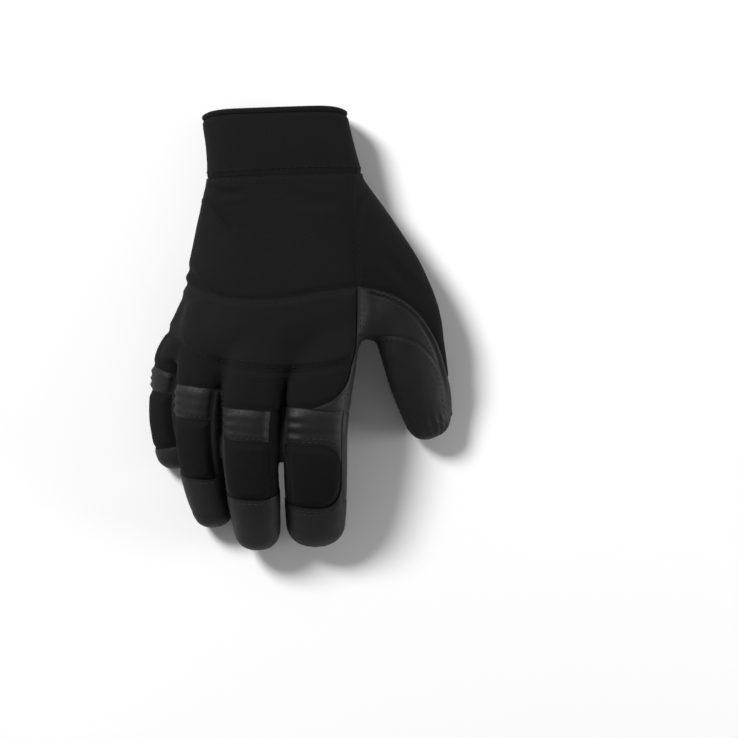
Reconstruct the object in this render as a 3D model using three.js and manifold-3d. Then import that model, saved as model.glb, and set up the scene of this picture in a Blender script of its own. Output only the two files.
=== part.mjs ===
// A right-hand work glove that lies on its palm and keeps the form of a relaxed hand.
// Millimetres, +Z up (the back of the hand), fingers towards -Y, thumb towards +X.
// The hand, the fingers and the thumb are hollow: leather and cloth walls around one open space.
import * as THREE from "three";
import { mergeVertices } from "three/addons/utils/BufferGeometryUtils.js";
import Module from "manifold-3d";

const wasm = await Module();
wasm.setup();

// Driving sizes
const wall = 1.6; // leather and stretch cloth
const seam = 0.3; // clearance between two sewn panels
const padRise = 1.1; // how far the knuckle band and finger pads stand proud
const ribRise = 1.2; // height of the flex ribs over each finger joint
const cuffSeamY = 75.2; // where the cuff is sewn to the hand
const cuffRimY = 106.4;
const cuffWall = 2.2;
const cuffSkew = { centre: -10, rise: 0.035, from: 58, over: 20 }; // it runs further on the thumb side
const rimShape = { from: 80, over: 26, reach: 0.07, corner: 2.6, sharpness: 8 }; // longer on the palm side
const cuffFloor = { height: 4.6, from: 62, over: 13 }; // its underside, held up by the strap below it
const squareness = 2.35; // exponent of every superellipse section
const splitAngle = THREE.MathUtils.degToRad(118); // palm leather starts here, from the back
const backAngle = THREE.MathUtils.degToRad(57); // back panels end here
const finish = 0.25; // slivers smaller than this are merged
const zoneReach = 1.3; // how far the cutting forms reach past the skin
const noseLength = 7; // the closed end of a fingertip wrap
const tipShare = 0.48; // length of a rounded fingertip, as a share of its width
const tipPower = 2.3; // exponent of its rounding
const handStart = 84; // the inner form starts here, inside the cuff
const bareReach = 0.7; // how far the fingers' own panels are kept clear of the hand's
const wedgeStart = 4; // where the undersides of the fingers start, inside the hand
const thumbUnder = { from: 62, end: 3 }; // where the thumb's underside starts, and how near its tip it ends
const fingerRadius = 12; // turns a clearance on a finger into an angle
const crownShare = 0.25; // share of a finger pad's length over which it rises

// The hand from cuff to knuckles. mid is the height of the section's middle; dropL and dropR
// lower its little-finger and thumb edges, which arches the knuckles; seamL and seamR are the
// heights of the two side seams, where the palm leather meets the back.
const handRows = [
  { y: 118, left: -48.6, right: 22.6, mid: 18.6, thick: 33.0, dropL: 0, dropR: 0, seamL: 18, seamR: 18 },
  { y: 108, left: -48.4, right: 23.6, mid: 18.6, thick: 33.0, dropL: 0, dropR: 0, seamL: 18, seamR: 18 },
  { y: 92, left: -46.8, right: 27.0, mid: 18.8, thick: 33.6, dropL: 0, dropR: 0, seamL: 18, seamR: 18 },
  { y: 76, left: -46.4, right: 31.0, mid: 18.2, thick: 34.6, dropL: 0, dropR: 0, seamL: 18, seamR: 18 },
  { y: 62, left: -49.0, right: 34.5, mid: 18.4, thick: 39.8, dropL: 1, dropR: 0, seamL: 17, seamR: 18 },
  { y: 45, left: -52.5, right: 36.5, mid: 20.4, thick: 44.2, dropL: 3, dropR: 1, seamL: 15, seamR: 19 },
  { y: 25, left: -56.2, right: 37.0, mid: 26.5, thick: 43.0, dropL: 6, dropR: 2, seamL: 12, seamR: 22 },
  { y: 8, left: -60.4, right: 37.0, mid: 31.0, thick: 40.5, dropL: 10, dropR: 4, seamL: 9, seamR: 25 },
  { y: -3, left: -66.0, right: 33.5, mid: 33.6, thick: 36.0, dropL: 13, dropR: 6, seamL: 7, seamR: 27 },
  { y: -10, left: -69.6, right: 29.4, mid: 34.8, thick: 30.0, dropL: 14, dropR: 5, seamL: 6, seamR: 28 },
  { y: -20, left: -71.6, right: 26.4, mid: 35.6, thick: 21.0, dropL: 15, dropR: 3, seamL: 5, seamR: 28 },
];

// The webs at the foot of two fingers, as rounded forms between them.
const webRows = [
  { x: -5.6, y: -22, z: 34, wide: 11, long: 16, tall: 20 },
  { x: -34.6, y: -18, z: 35, wide: 11, long: 16, tall: 19 },
  { x: -58.4, y: -5, z: 23, wide: 9, long: 13, tall: 15 },
];

// Each finger and the thumb: its centre line and section, from inside the hand to the tip.
// lean turns the back of the section towards the little finger, in degrees.
const limbRows = {
  index: [
    { x: 14.0, y: 4, z: 30.0, wide: 32.0, thick: 29.0, lean: 0 },
    { x: 12.2, y: -13, z: 34.5, wide: 33.2, thick: 28.5, lean: 0 },
    { x: 9.5, y: -31, z: 37.0, wide: 33.2, thick: 26.0, lean: 0 },
    { x: 8.0, y: -50, z: 36.5, wide: 32.0, thick: 24.5, lean: 0 },
    { x: 8.6, y: -69, z: 31.5, wide: 29.4, thick: 23.0, lean: 0 },
    { x: 8.6, y: -86, z: 22.8, wide: 28.4, thick: 21.0, lean: 0 },
    { x: 8.2, y: -100, z: 13.4, wide: 27.4, thick: 18.5, lean: 0 },
    { x: 7.9, y: -108, z: 7.6, wide: 26.4, thick: 16.5, lean: 0 },
  ],
  middle: [
    { x: -17.5, y: 6, z: 33.0, wide: 32.0, thick: 29.5, lean: 5 },
    { x: -19.6, y: -11, z: 38.0, wide: 32.0, thick: 29.0, lean: 8 },
    { x: -21.8, y: -29, z: 41.0, wide: 29.5, thick: 26.5, lean: 12 },
    { x: -23.3, y: -49, z: 40.5, wide: 27.6, thick: 24.5, lean: 16 },
    { x: -23.6, y: -69, z: 35.0, wide: 27.2, thick: 23.0, lean: 16 },
    { x: -22.4, y: -87, z: 26.2, wide: 25.4, thick: 20.6, lean: 14 },
    { x: -21.3, y: -102, z: 15.0, wide: 22.6, thick: 18.5, lean: 9 },
    { x: -20.6, y: -109.5, z: 8.2, wide: 21.0, thick: 16.5, lean: 6 },
  ],
  ring: [
    { x: -41.0, y: 8, z: 28.0, wide: 29.0, thick: 27.0, lean: 14 },
    { x: -44.0, y: -7, z: 31.0, wide: 29.0, thick: 26.5, lean: 20 },
    { x: -47.0, y: -24, z: 32.6, wide: 26.6, thick: 24.0, lean: 26 },
    { x: -48.8, y: -43, z: 31.2, wide: 25.0, thick: 22.4, lean: 30 },
    { x: -48.6, y: -61, z: 27.0, wide: 24.8, thick: 21.0, lean: 30 },
    { x: -47.4, y: -77, z: 18.8, wide: 23.8, thick: 19.2, lean: 25 },
    { x: -44.7, y: -90, z: 11.0, wide: 21.4, thick: 17.0, lean: 16 },
    { x: -42.8, y: -97.5, z: 7.2, wide: 19.8, thick: 15.2, lean: 10 },
  ],
  little: [
    { x: -51.0, y: 12, z: 20.5, wide: 20.0, thick: 19.0, lean: 25 },
    { x: -56.4, y: -2, z: 18.4, wide: 22.8, thick: 21.4, lean: 36 },
    { x: -62.2, y: -15, z: 15.0, wide: 22.8, thick: 20.8, lean: 44 },
    { x: -64.8, y: -29, z: 11.6, wide: 21.0, thick: 19.0, lean: 49 },
    { x: -65.5, y: -43, z: 9.8, wide: 20.4, thick: 18.0, lean: 49 },
    { x: -64.8, y: -54, z: 8.6, wide: 19.8, thick: 16.8, lean: 46 },
    { x: -63.2, y: -63, z: 7.9, wide: 19.2, thick: 15.6, lean: 40 },
    { x: -62.2, y: -69.5, z: 7.2, wide: 18.4, thick: 14.6, lean: 34 },
  ],
  thumb: [
    { x: 14.0, y: 62, z: 18.0, wide: 34.0, thick: 30.0, lean: 0 },
    { x: 29.5, y: 45, z: 18.8, wide: 37.0, thick: 34.0, lean: -4 },
    { x: 43.0, y: 25, z: 20.0, wide: 36.5, thick: 34.0, lean: -8 },
    { x: 52.0, y: 6, z: 19.6, wide: 35.2, thick: 30.5, lean: -12 },
    { x: 56.4, y: -11, z: 17.4, wide: 32.4, thick: 27.0, lean: -15 },
    { x: 60.0, y: -28, z: 14.0, wide: 29.4, thick: 23.6, lean: -15 },
    { x: 63.6, y: -44, z: 10.0, wide: 25.6, thick: 20.0, lean: -12 },
    { x: 67.4, y: -55, z: 7.6, wide: 22.6, thick: 17.0, lean: -8 },
  ],
};

// Seams on the back of the hand, as seen from above: each runs from the little finger to the
// thumb, or from the cuff to the fingertips.
const seams = {
  bandTop: [[-80, 32], [-56, 21], [-37, 14.4], [-20, 12.8], [-4, 14], [12, 17], [29.2, 19.4]],
  bandFoot: [[-80, 8], [-66, -0.6], [-52, -11.6], [-36, -18.4], [-14, -21.2], [8, -20], [26.8, -17.6]],
  thumbSide: [[26, 90], [26.2, 58], [28.4, 36], [29.2, 19.4], [29, 4], [28.4, -9], [26.8, -17.6]],
  indexSide: [[26.8, -17.6], [24, -28.4], [18.6, -35.4], [13, -38.4], [11.6, -50]],
  saddleTop: [
    [29.2, 19.4], [38, 18], [48, 14.6], [56.6, 9], [63, 0.6],
    [67.6, -10], [70.2, -24], [71.4, -40], [69, -70],
  ],
  thumbBack: [[33, -5], [47, -4.6], [57, -6.8], [63, -13], [66.4, -22], [67.6, -34], [66.4, -70]],
};

// Where each finger's own panels start and change, as Y on its centre line.
const fingerPanels = {
  index: { ribs: -41, pad: -59, tip: -90 },
  middle: { ribs: -41, pad: -59, tip: -89 },
  ring: { ribs: -30, pad: -47, tip: -77 },
  little: { ribs: -21, pad: -35, tip: -53 },
};

const leather = new THREE.MeshStandardMaterial({ color: 0x1f1f1f, roughness: 0.55, metalness: 0 });
const stretch = new THREE.MeshStandardMaterial({ color: 0x171717, roughness: 0.95, metalness: 0 });
const suede = new THREE.MeshStandardMaterial({ color: 0x1c1c1c, roughness: 0.85, metalness: 0 });
const elastic = new THREE.MeshStandardMaterial({ color: 0x1a1a1a, roughness: 0.9, metalness: 0 });
const moulded = new THREE.MeshStandardMaterial({ color: 0x232323, roughness: 0.5, metalness: 0 });

const fingerNames = ["index", "middle", "ring", "little"];

// Interpolation through a table's rows
const clamp01 = (v) => Math.min(1, Math.max(0, v));
const smooth = (v) => clamp01(v) ** 2 * (3 - 2 * clamp01(v));
const power = (v) => Math.sign(v) * Math.abs(v) ** (2 / squareness);

// Every column at row position s, by a Catmull-Rom spline.
function between(rows, s) {
  const i = Math.min(rows.length - 2, Math.max(0, Math.floor(s)));
  const f = s - i;
  const [a, b, c, d] = [-1, 0, 1, 2].map((k) => rows[Math.min(rows.length - 1, Math.max(0, i + k))]);
  const out = {};
  for (const key of Object.keys(b)) {
    const cubic = 2 * b[key] + (c[key] - a[key]) * f;
    const square = (2 * a[key] - 5 * b[key] + 4 * c[key] - d[key]) * f * f;
    out[key] = 0.5 * (cubic + square + (3 * b[key] - 3 * c[key] + d[key] - a[key]) * f ** 3);
  }
  return out;
}

// The row position at which a column that falls along the table has a value.
function rowAt(rows, key, value) {
  let [low, high] = [0, rows.length - 1];
  for (let n = 0; n < 40; n++) {
    const half = (low + high) / 2;
    if (between(rows, half)[key] > value) low = half;
    else high = half;
  }
  return low;
}

// A point on the hand's skin. angle is 0 on the back and a quarter turn on the thumb side.
function handPoint(y, angle, grow) {
  const row = between(handRows, rowAt(handRows, "y", y));
  const half = (row.right - row.left) / 2;
  const u = power(Math.sin(angle));
  const x = (row.left + row.right) / 2 + (half + grow) * u;
  const drop = (u < 0 ? row.dropL : row.dropR) * u * u;
  const floor = cuffFloor.height * smooth((y - cuffFloor.from) / cuffFloor.over);
  const z = Math.max(row.mid - drop + (row.thick / 2 + grow) * power(Math.cos(angle)), floor - grow);
  const onCuff = smooth((y - cuffSkew.from) / cuffSkew.over);
  const fold = rimShape.reach * (row.mid - z) - rimShape.corner * u ** rimShape.sharpness;
  const rimSlant = fold * smooth((y - rimShape.from) / rimShape.over);
  const slant = cuffSkew.rise * (x - cuffSkew.centre) + rimSlant;
  return new THREE.Vector3(x, y + slant * onCuff, z);
}

// A finger or thumb, measured in millimetres along its centre line.
class Limb {
  constructor(rows) {
    this.rows = rows;
    const steps = 20 * (rows.length - 1);
    this.marks = [];
    let travelled = 0;
    let last = null;
    for (let i = 0; i <= steps; i++) {
      const s = (i * (rows.length - 1)) / steps;
      const here = this.centre(s);
      travelled += last ? here.distanceTo(last) : 0;
      this.marks.push({ s, mm: travelled });
      last = here;
    }
    this.length = travelled;
    this.roundEnd = tipShare * rows.at(-1).wide;
  }
  centre(s) {
    const { x, y, z } = between(this.rows, s);
    return new THREE.Vector3(x, y, z);
  }
  rowOf(mm) {
    const i = Math.max(1, this.marks.findIndex((m) => m.mm >= mm));
    const [a, b] = [this.marks[i - 1], this.marks[i]];
    return a.s + ((b.s - a.s) * (mm - a.mm)) / (b.mm - a.mm);
  }
  mmAt(y) {
    const s = rowAt(this.rows, "y", y);
    const i = Math.max(1, this.marks.findIndex((m) => m.s >= s));
    const [a, b] = [this.marks[i - 1], this.marks[i]];
    return a.mm + ((b.mm - a.mm) * (s - a.s)) / (b.s - a.s);
  }
  // A point on the skin. angle is 0 on the back and a quarter turn towards the thumb.
  point(mm, angle, grow) {
    const s = this.rowOf(Math.min(mm, this.length));
    const { wide, thick, lean } = between(this.rows, s);
    const along = this.centre(Math.min(s + 0.05, this.rows.length - 1));
    along.sub(this.centre(Math.max(s - 0.05, 0))).normalize();
    const up = new THREE.Vector3(0, 0, 1).addScaledVector(along, -along.z).normalize();
    const side = new THREE.Vector3().crossVectors(up, along);
    const turn = THREE.MathUtils.degToRad(lean);
    const back = up.clone().multiplyScalar(Math.cos(turn)).addScaledVector(side, -Math.sin(turn));
    const right = side.clone().multiplyScalar(Math.cos(turn)).addScaledVector(up, Math.sin(turn));
    const left = Math.max(0, this.length + grow - mm) / (this.roundEnd + grow);
    const close = left < 1 ? (1 - (1 - left) ** tipPower) ** (1 / tipPower) : 1;
    const point = this.centre(s).addScaledVector(along, Math.max(0, mm - this.length));
    point.addScaledVector(right, (wide / 2 + grow) * close * power(Math.sin(angle)));
    point.addScaledVector(back, (thick / 2 + grow) * close * power(Math.cos(angle)));
    point.z = Math.max(point.z, -grow);
    return point;
  }
}
const limbs = Object.fromEntries(Object.entries(limbRows).map(([name, rows]) => [name, new Limb(rows)]));

// Solids from grids of points
function span(from, to, steps) {
  return Array.from({ length: steps + 1 }, (_, i) => from + ((to - from) * i) / steps);
}
const turn = 2 * Math.PI;

function addSheet(triangles, grid, flipped = false) {
  for (let i = 0; i + 1 < grid.length; i++) {
    for (let j = 0; j + 1 < grid[i].length; j++) {
      const [a, b, c, d] = [grid[i][j], grid[i][j + 1], grid[i + 1][j + 1], grid[i + 1][j]];
      triangles.push(...(flipped ? [a, c, b, a, d, c] : [a, b, c, a, c, d]));
    }
  }
}

function solidOf(geometry) {
  const bare = geometry.index ? geometry.toNonIndexed() : geometry.clone();
  const plain = new THREE.BufferGeometry().setAttribute("position", bare.getAttribute("position"));
  const merged = mergeVertices(plain, 1e-4);
  const position = merged.getAttribute("position");
  const corner = (i) => new THREE.Vector3().fromBufferAttribute(position, i);
  const kept = [];
  let volume = 0;
  for (let i = 0; i < merged.index.count; i += 3) {
    const [a, b, c] = [0, 1, 2].map((k) => merged.index.getX(i + k));
    if (a === b || b === c || c === a) continue;
    kept.push(a, b, c);
    volume += corner(a).dot(corner(b).cross(corner(c)));
  }
  if (volume < 0) kept.reverse();
  const triVerts = new Uint32Array(kept);
  return new wasm.Manifold(new wasm.Mesh({ numProp: 3, vertProperties: position.array, triVerts }));
}

function solidFrom(triangles) {
  return solidOf(new THREE.BufferGeometry().setFromPoints(triangles));
}

// A closed solid through rings of points, with flat or pointed ends.
function loft(rings) {
  const triangles = [];
  addSheet(triangles, rings);
  for (const [ring, flipped] of [[rings[0], true], [rings.at(-1), false]]) {
    const middle = new THREE.Vector3();
    ring.slice(1).forEach((p) => middle.addScaledVector(p, 1 / (ring.length - 1)));
    addSheet(triangles, [ring, ring.map(() => middle)], flipped);
  }
  return solidFrom(triangles);
}

// A wall with an outer and an inner sheet of the same grid, closed along its edges.
function wallBetween(outer, inner) {
  const triangles = [];
  const column = (grid, j) => grid.map((row) => row.at(j));
  addSheet(triangles, outer);
  addSheet(triangles, inner, true);
  addSheet(triangles, [outer[0], inner[0]], true);
  addSheet(triangles, [outer.at(-1), inner.at(-1)]);
  addSheet(triangles, [column(outer, 0), column(inner, 0)]);
  addSheet(triangles, [column(outer, -1), column(inner, -1)], true);
  return solidFrom(triangles);
}

// A tube wall: rings outside and inside, open at both ends.
function tubeBetween(outer, inner) {
  const triangles = [];
  addSheet(triangles, outer);
  addSheet(triangles, inner, true);
  addSheet(triangles, [outer[0], inner[0]], true);
  addSheet(triangles, [outer.at(-1), inner.at(-1)]);
  return solidFrom(triangles);
}

const join = (solids) => solids.reduce((all, next) => all.add(next));
const largest = (solid) => solid.decompose().sort((a, b) => b.volume() - a.volume())[0];

// The hand, the fingers and the thumb as full forms, grown or shrunk from the outer skin
const handSides = 26;
const limbSides = 14;
const handStations = [68, 55, 42, 29, 17, 7, -2, -9, -15];
const handEnd = -20.5;
const endInset = 5; // the hand form narrows by this at its finger end
const noseSteps = [0.42, 0.74, 0.93, 1]; // shares of a rounded tip's length
const handRing = (y, grow) => span(0, turn, handSides).map((a) => handPoint(y, a, grow));

function handForm(grow, startY) {
  const rings = [startY, ...handStations].map((y) => handRing(y, grow));
  const last = handRing(handEnd, grow - endInset).map((p) => p.setY(handEnd - grow));
  return loft([...rings, last]);
}

function webForm(row, grow) {
  const ball = new THREE.SphereGeometry(1, 12, 8);
  ball.scale(row.wide / 2 + grow, row.long / 2 + grow, row.tall / 2 + grow);
  return solidOf(ball.translate(row.x, row.y, row.z));
}

function limbRing(limb, mm, grow, from = 0, to = turn, sides = limbSides) {
  return span(from, to, sides).map((a) => limb.point(mm, a, grow));
}

// Stations along a limb: evenly spaced, then closer together round the tip.
function limbStations(limb, from, grow, steps) {
  const shoulder = limb.length - limb.roundEnd;
  const end = limb.length + grow;
  const nose = noseSteps.map((f) => shoulder + (end - shoulder) * f);
  return [...span(from, shoulder, steps), ...nose];
}

function limbForm(limb, grow, from = 0) {
  return loft(limbStations(limb, from, grow, 5).map((mm) => limbRing(limb, mm, grow)));
}

function wholeForm(grow, startY) {
  const webs = webRows.map((row) => webForm(row, grow));
  const fingersAndThumb = Object.values(limbs).map((limb) => limbForm(limb, grow));
  return join([handForm(grow, startY), ...webs, ...fingersAndThumb]);
}

// The part of a limb between two angles, as a wedge from its centre line past the skin
function limbWedge(limb, from, to, angleFrom, angleTo, reach) {
  const rings = span(from, to, 5).map((mm) => {
    const centre = limb.centre(limb.rowOf(mm));
    const arc = limbRing(limb, mm, 0, angleFrom, angleTo, 12).map((skin) => {
      const ray = skin.clone().sub(centre);
      return skin.addScaledVector(ray, reach / ray.length());
    });
    return [centre, ...arc, centre];
  });
  return loft(rings);
}

// Everything below the side seams of the hand and the thumb. The seam's height follows the hand,
// and passes over to the thumb's own tilt near the hand's thumb edge.
const seamBend = 2.5;
const ontoThumb = { start: 60, before: 8, over: 14 };

function belowSideSeams(lift) {
  const height = (x, y) => {
    const row = between(handRows, rowAt(handRows, "y", y));
    const across = clamp01((x - row.left) / (row.right - row.left));
    const hand = row.seamL + (row.seamR - row.seamL) * (1 - (1 - across) ** seamBend);
    const thumb = between(limbRows.thumb, rowAt(limbRows.thumb, "y", Math.min(ontoThumb.start, y)));
    const tilted = thumb.z + Math.tan(THREE.MathUtils.degToRad(thumb.lean)) * (x - thumb.x);
    const onThumb = y > ontoThumb.start ? 0 : smooth((x - row.right + ontoThumb.before) / ontoThumb.over);
    return hand + (tilted - hand) * onThumb + lift;
  };
  const xs = [-90, ...span(-72, 78, 9), 95];
  const ys = [84, ...span(72, -8, 5), -12 - lift];
  const top = ys.map((y) => xs.map((x) => new THREE.Vector3(x, y, height(x, y))));
  const foot = ys.map((y) => xs.map((x) => new THREE.Vector3(x, y, -10)));
  return wallBetween(top, foot);
}

function palmZone(slack, reach) {
  const [from, to] = [splitAngle - slack / fingerRadius, turn - splitAngle + slack / fingerRadius];
  const fingers = fingerNames.map((name) => {
    const limb = limbs[name];
    return limbWedge(limb, wedgeStart, limb.length - noseLength - seam + slack, from, to, reach);
  });
  const thumb = limbs.thumb;
  const thumbNose = limbForm(thumb, reach, thumb.length - noseLength - slack);
  const halfTurn = Math.PI / 2 - slack / fingerRadius;
  const thumbEnd = thumb.length - thumbUnder.end;
  const underThumb = limbWedge(thumb, thumbUnder.from, thumbEnd, halfTurn, turn - halfTurn, reach);
  return join([belowSideSeams(slack), ...fingers, thumbNose, underThumb]);
}

// Vertical cutters drawn on the back of the hand
const flatCurve = (points, steps = 14) => {
  const curve = new THREE.SplineCurve(points.map(([x, y]) => new THREE.Vector2(x, y)));
  return curve.getPoints(steps);
};

const cutter = { foot: -20, depth: 120, layerDepth: 37 };

function upright(points) {
  const options = { depth: cutter.depth, bevelEnabled: false };
  const geometry = new THREE.ExtrudeGeometry(new THREE.Shape(points), options);
  return solidOf(geometry.translate(0, 0, cutter.foot));
}

// A thin upright blade along a seam: what it cuts away is the clearance between two panels.
function blade(points) {
  const middle = flatCurve(points);
  const edge = (sign) =>
    middle.map((p, i) => {
      const run = middle[Math.min(i + 1, middle.length - 1)].clone().sub(middle[Math.max(i - 1, 0)]);
      return p.clone().add(new THREE.Vector2(-run.y, run.x).setLength((sign * seam) / 2));
    });
  return upright([...edge(1), ...edge(-1).reverse()]);
}

const corner = (x, y) => new THREE.Vector2(x, y);
const reversed = (points) => flatCurve(points).reverse();

// The panels of the back of the hand and the thumb
const inside = wholeForm(-wall, handStart);
const shell = wholeForm(0, cuffSeamY - seam).subtract(inside);
const paddedShell = wholeForm(padRise, cuffSeamY - seam).subtract(inside);
const panelStart = (name) => limbs[name].mmAt(fingerPanels[name].ribs);
const fingerBeyond = (name) => limbForm(limbs[name], bareReach, panelStart(name) - seam);
const fingersBeyond = join(fingerNames.map(fingerBeyond));
const cutAway = join([palmZone(seam, zoneReach + seam), fingersBeyond]);
const blades = join(Object.values(seams).map(blade));
const upper = shell.subtract(cutAway).subtract(blades);
const upperPadded = paddedShell.subtract(cutAway).subtract(blades);

// Far corners of the outlines, all clear of the glove
const far = { little: -80, outer: -90, thumb: 100, cuff: 90, tips: -80, thumbTip: -70 };
const indexEdge = seams.indexSide.at(-1)[0];
const backOutline = upright([
  ...flatCurve(seams.bandTop),
  ...flatCurve(seams.thumbSide.slice(0, 4)).reverse(),
  corner(far.little, far.cuff),
]);
const bandOutline = upright([
  ...flatCurve(seams.bandFoot),
  ...flatCurve(seams.thumbSide.slice(3)).reverse().slice(1),
  ...reversed(seams.bandTop).slice(1),
]);
const baseOutline = upright([
  ...flatCurve(seams.bandFoot),
  ...flatCurve(seams.indexSide).slice(1),
  corner(indexEdge, far.tips),
  corner(far.outer, far.tips),
]);
const sideOutline = upright([
  ...flatCurve(seams.thumbSide.slice(0, 4)),
  ...flatCurve(seams.saddleTop).slice(1),
  corner(far.thumb, far.tips),
  corner(far.thumb, far.cuff),
]);
const thumbBackEdge = seams.thumbBack[0][0];
const thumbBackOutline = upright([...flatCurve(seams.thumbBack), corner(thumbBackEdge, far.thumbTip)]);
const saddleOutline = upright([
  ...flatCurve(seams.saddleTop),
  corner(indexEdge, far.tips),
  ...reversed(seams.indexSide),
  ...reversed(seams.thumbSide.slice(3)).slice(1, -1),
]).subtract(thumbBackOutline);

// Fingers: flex ribs over the joint, a soft pad, a leather wrap over the tip, and side strips
const ribCount = 3;
const ribWave = (mm, start, end) => {
  const across = Math.sin((Math.PI * (mm - start) * ribCount) / (end - start)) ** 2;
  return ribRise * across;
};

function fingerSheet(limb, stations, from, to, sides, grow) {
  const growAt = typeof grow === "function" ? grow : () => grow;
  return stations.map((mm) => limbRing(limb, mm, growAt(mm), from, to, sides));
}

function fingerPatch(limb, stations, from, to, sides, grow) {
  const outer = fingerSheet(limb, stations, from, to, sides, grow);
  return wallBetween(outer, fingerSheet(limb, stations, from, to, sides, -wall));
}

const sliver = seam / 2 / fingerRadius; // half the seam clearance as an angle on a finger

function flexRibs(name) {
  const limb = limbs[name];
  const [from, to] = [panelStart(name), limb.mmAt(fingerPanels[name].pad) - seam];
  const edge = backAngle - sliver;
  return fingerPatch(limb, span(from, to, 4 * ribCount), -edge, edge, 4, (mm) => ribWave(mm, from, to));
}

function fingerPad(name) {
  const limb = limbs[name];
  const [from, to] = [limb.mmAt(fingerPanels[name].pad), limb.mmAt(fingerPanels[name].tip) - seam];
  const edge = backAngle - sliver;
  const crown = (mm) => padRise * Math.min(1, Math.min(mm - from, to - mm) / (to - from) / crownShare);
  return fingerPatch(limb, span(from, to, 5), -edge, edge, 5, crown);
}

function tipWrap(name) {
  const limb = limbs[name];
  const from = limb.mmAt(fingerPanels[name].tip);
  const sheet = (grow) => limbStations(limb, from, grow, 1).map((mm) => limbRing(limb, mm, grow));
  const triangles = [];
  const [outer, inner] = [sheet(0), sheet(-wall)];
  addSheet(triangles, outer);
  addSheet(triangles, inner, true);
  addSheet(triangles, [outer[0], inner[0]], true);
  const [a, b] = [splitAngle - 2 * sliver, turn - splitAngle + 2 * sliver];
  const under = limbWedge(limb, wedgeStart, limb.length - noseLength, a, b, zoneReach);
  return largest(solidFrom(triangles).subtract(under));
}

function sideStrip(name, side) {
  const limb = limbs[name];
  const [from, to] = [panelStart(name), limb.mmAt(fingerPanels[name].tip) - seam];
  const [a, b] = [backAngle + sliver, splitAngle - sliver].map((angle) => side * angle);
  return fingerPatch(limb, span(from, to, 5), Math.min(a, b), Math.max(a, b), 2, 0);
}

// The cuff and its closure
const cuffSheet = (ys, grow) => ys.map((y) => handRing(y, grow));
const cuffYs = span(cuffSeamY, cuffRimY, 4);
const cuffBand = tubeBetween(cuffSheet(cuffYs, 0), cuffSheet(cuffYs, -cuffWall));
const binding = { deep: 3, grow: [0.2, 0.8, 0.2] };
const bindingYs = span(cuffRimY + seam, cuffRimY + seam + binding.deep, 2);
const rimBinding = tubeBetween(
  bindingYs.map((y, i) => handRing(y, binding.grow[i])),
  bindingYs.map((y, i) => handRing(y, -cuffWall - binding.grow[i] + binding.grow[0])),
);

// A layer wrapped round the cuff, cut to an outline seen from below
const layerBeyond = 4;

function cuffLayer(from, to, outline) {
  const ys = span(cuffSeamY, cuffRimY + layerBeyond, 4);
  return largest(tubeBetween(cuffSheet(ys, to), cuffSheet(ys, from)).intersect(below(outline)));
}

function below(outline) {
  const options = { depth: cutter.layerDepth, bevelEnabled: false, curveSegments: 10 };
  return solidOf(new THREE.ExtrudeGeometry(outline, options).translate(0, 0, cutter.foot));
}
const strap = {
  root: -42, nose: 4, foot: 77.4, top: 105.6, rise: 2.2, // its outline and thickness
  rim: 0.8, rimInset: 1, rimWide: 2.6, rimRoot: 0.4, // the raised border, and how deep it sits
};

// The strap's outline: straight at the root, a half circle at the nose.
function strapOutline(inset) {
  const radius = (strap.top - strap.foot) / 2 - inset;
  const middle = (strap.top + strap.foot) / 2;
  const centre = strap.nose - (strap.top - strap.foot) / 2;
  const shape = new THREE.Shape();
  shape.moveTo(strap.root + inset, middle - radius);
  shape.lineTo(centre, middle - radius);
  shape.absarc(centre, middle, radius, -Math.PI / 2, Math.PI / 2, false);
  shape.lineTo(strap.root + inset, middle + radius);
  shape.closePath();
  return shape;
}
const loop = { left: -34, right: 12, foot: 77, top: 105.8, from: seam, to: 1.3 };
const loopOutline = new THREE.Shape([
  corner(loop.left, loop.foot),
  corner(loop.right, loop.foot),
  corner(loop.right, loop.top),
  corner(loop.left, loop.top),
]);
const strapFrom = loop.to + seam;
const strapFace = strapFrom + strap.rise;
const loopPatch = cuffLayer(loop.from, loop.to, loopOutline);
const strapBody = cuffLayer(strapFrom, strapFace, strapOutline(0));
const rimSolid = cuffLayer(strapFace - strap.rimRoot, strapFace + strap.rim, strapOutline(strap.rimInset));
const rimHole = below(strapOutline(strap.rimInset + strap.rimWide));
const strapTab = strapBody.add(rimSolid.subtract(rimHole));

// The glove
const glove = new THREE.Group();

function piece(name, solid, material) {
  const { numProp, vertProperties, triVerts } = solid.simplify(finish).getMesh();
  const points = new Float32Array((vertProperties.length / numProp) * 3);
  for (let i = 0; i < points.length / 3; i++) {
    points.set(vertProperties.subarray(i * numProp, i * numProp + 3), 3 * i);
  }
  const geometry = new THREE.BufferGeometry();
  geometry.setAttribute("position", new THREE.BufferAttribute(points, 3));
  geometry.setIndex(new THREE.BufferAttribute(new Uint32Array(triVerts), 1));
  const mesh = new THREE.Mesh(geometry, material);
  mesh.name = name;
  glove.add(mesh);
}

piece("palm_leather", largest(shell.intersect(palmZone(0, zoneReach))), leather);
piece("back_panel", largest(upper.intersect(backOutline)), stretch);
piece("knuckle_band", largest(upperPadded.intersect(bandOutline)), suede);
piece("finger_base_panel", largest(upper.intersect(baseOutline)), stretch);
piece("thumb_side_panel", largest(upper.intersect(sideOutline)), stretch);
piece("thumb_saddle", largest(upper.intersect(saddleOutline)), leather);
piece("thumb_back", largest(upper.intersect(thumbBackOutline)), leather);
for (const name of fingerNames) {
  piece(`flex_ribs_${name}`, flexRibs(name), leather);
  piece(`finger_pad_${name}`, fingerPad(name), stretch);
  piece(`tip_wrap_${name}`, tipWrap(name), leather);
  piece(`side_strip_${name}_thumb_side`, sideStrip(name, 1), name === "index" ? leather : stretch);
  piece(`side_strip_${name}_little_side`, sideStrip(name, -1), stretch);
}
piece("cuff_band", cuffBand, elastic);
piece("cuff_binding", rimBinding, elastic);
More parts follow.
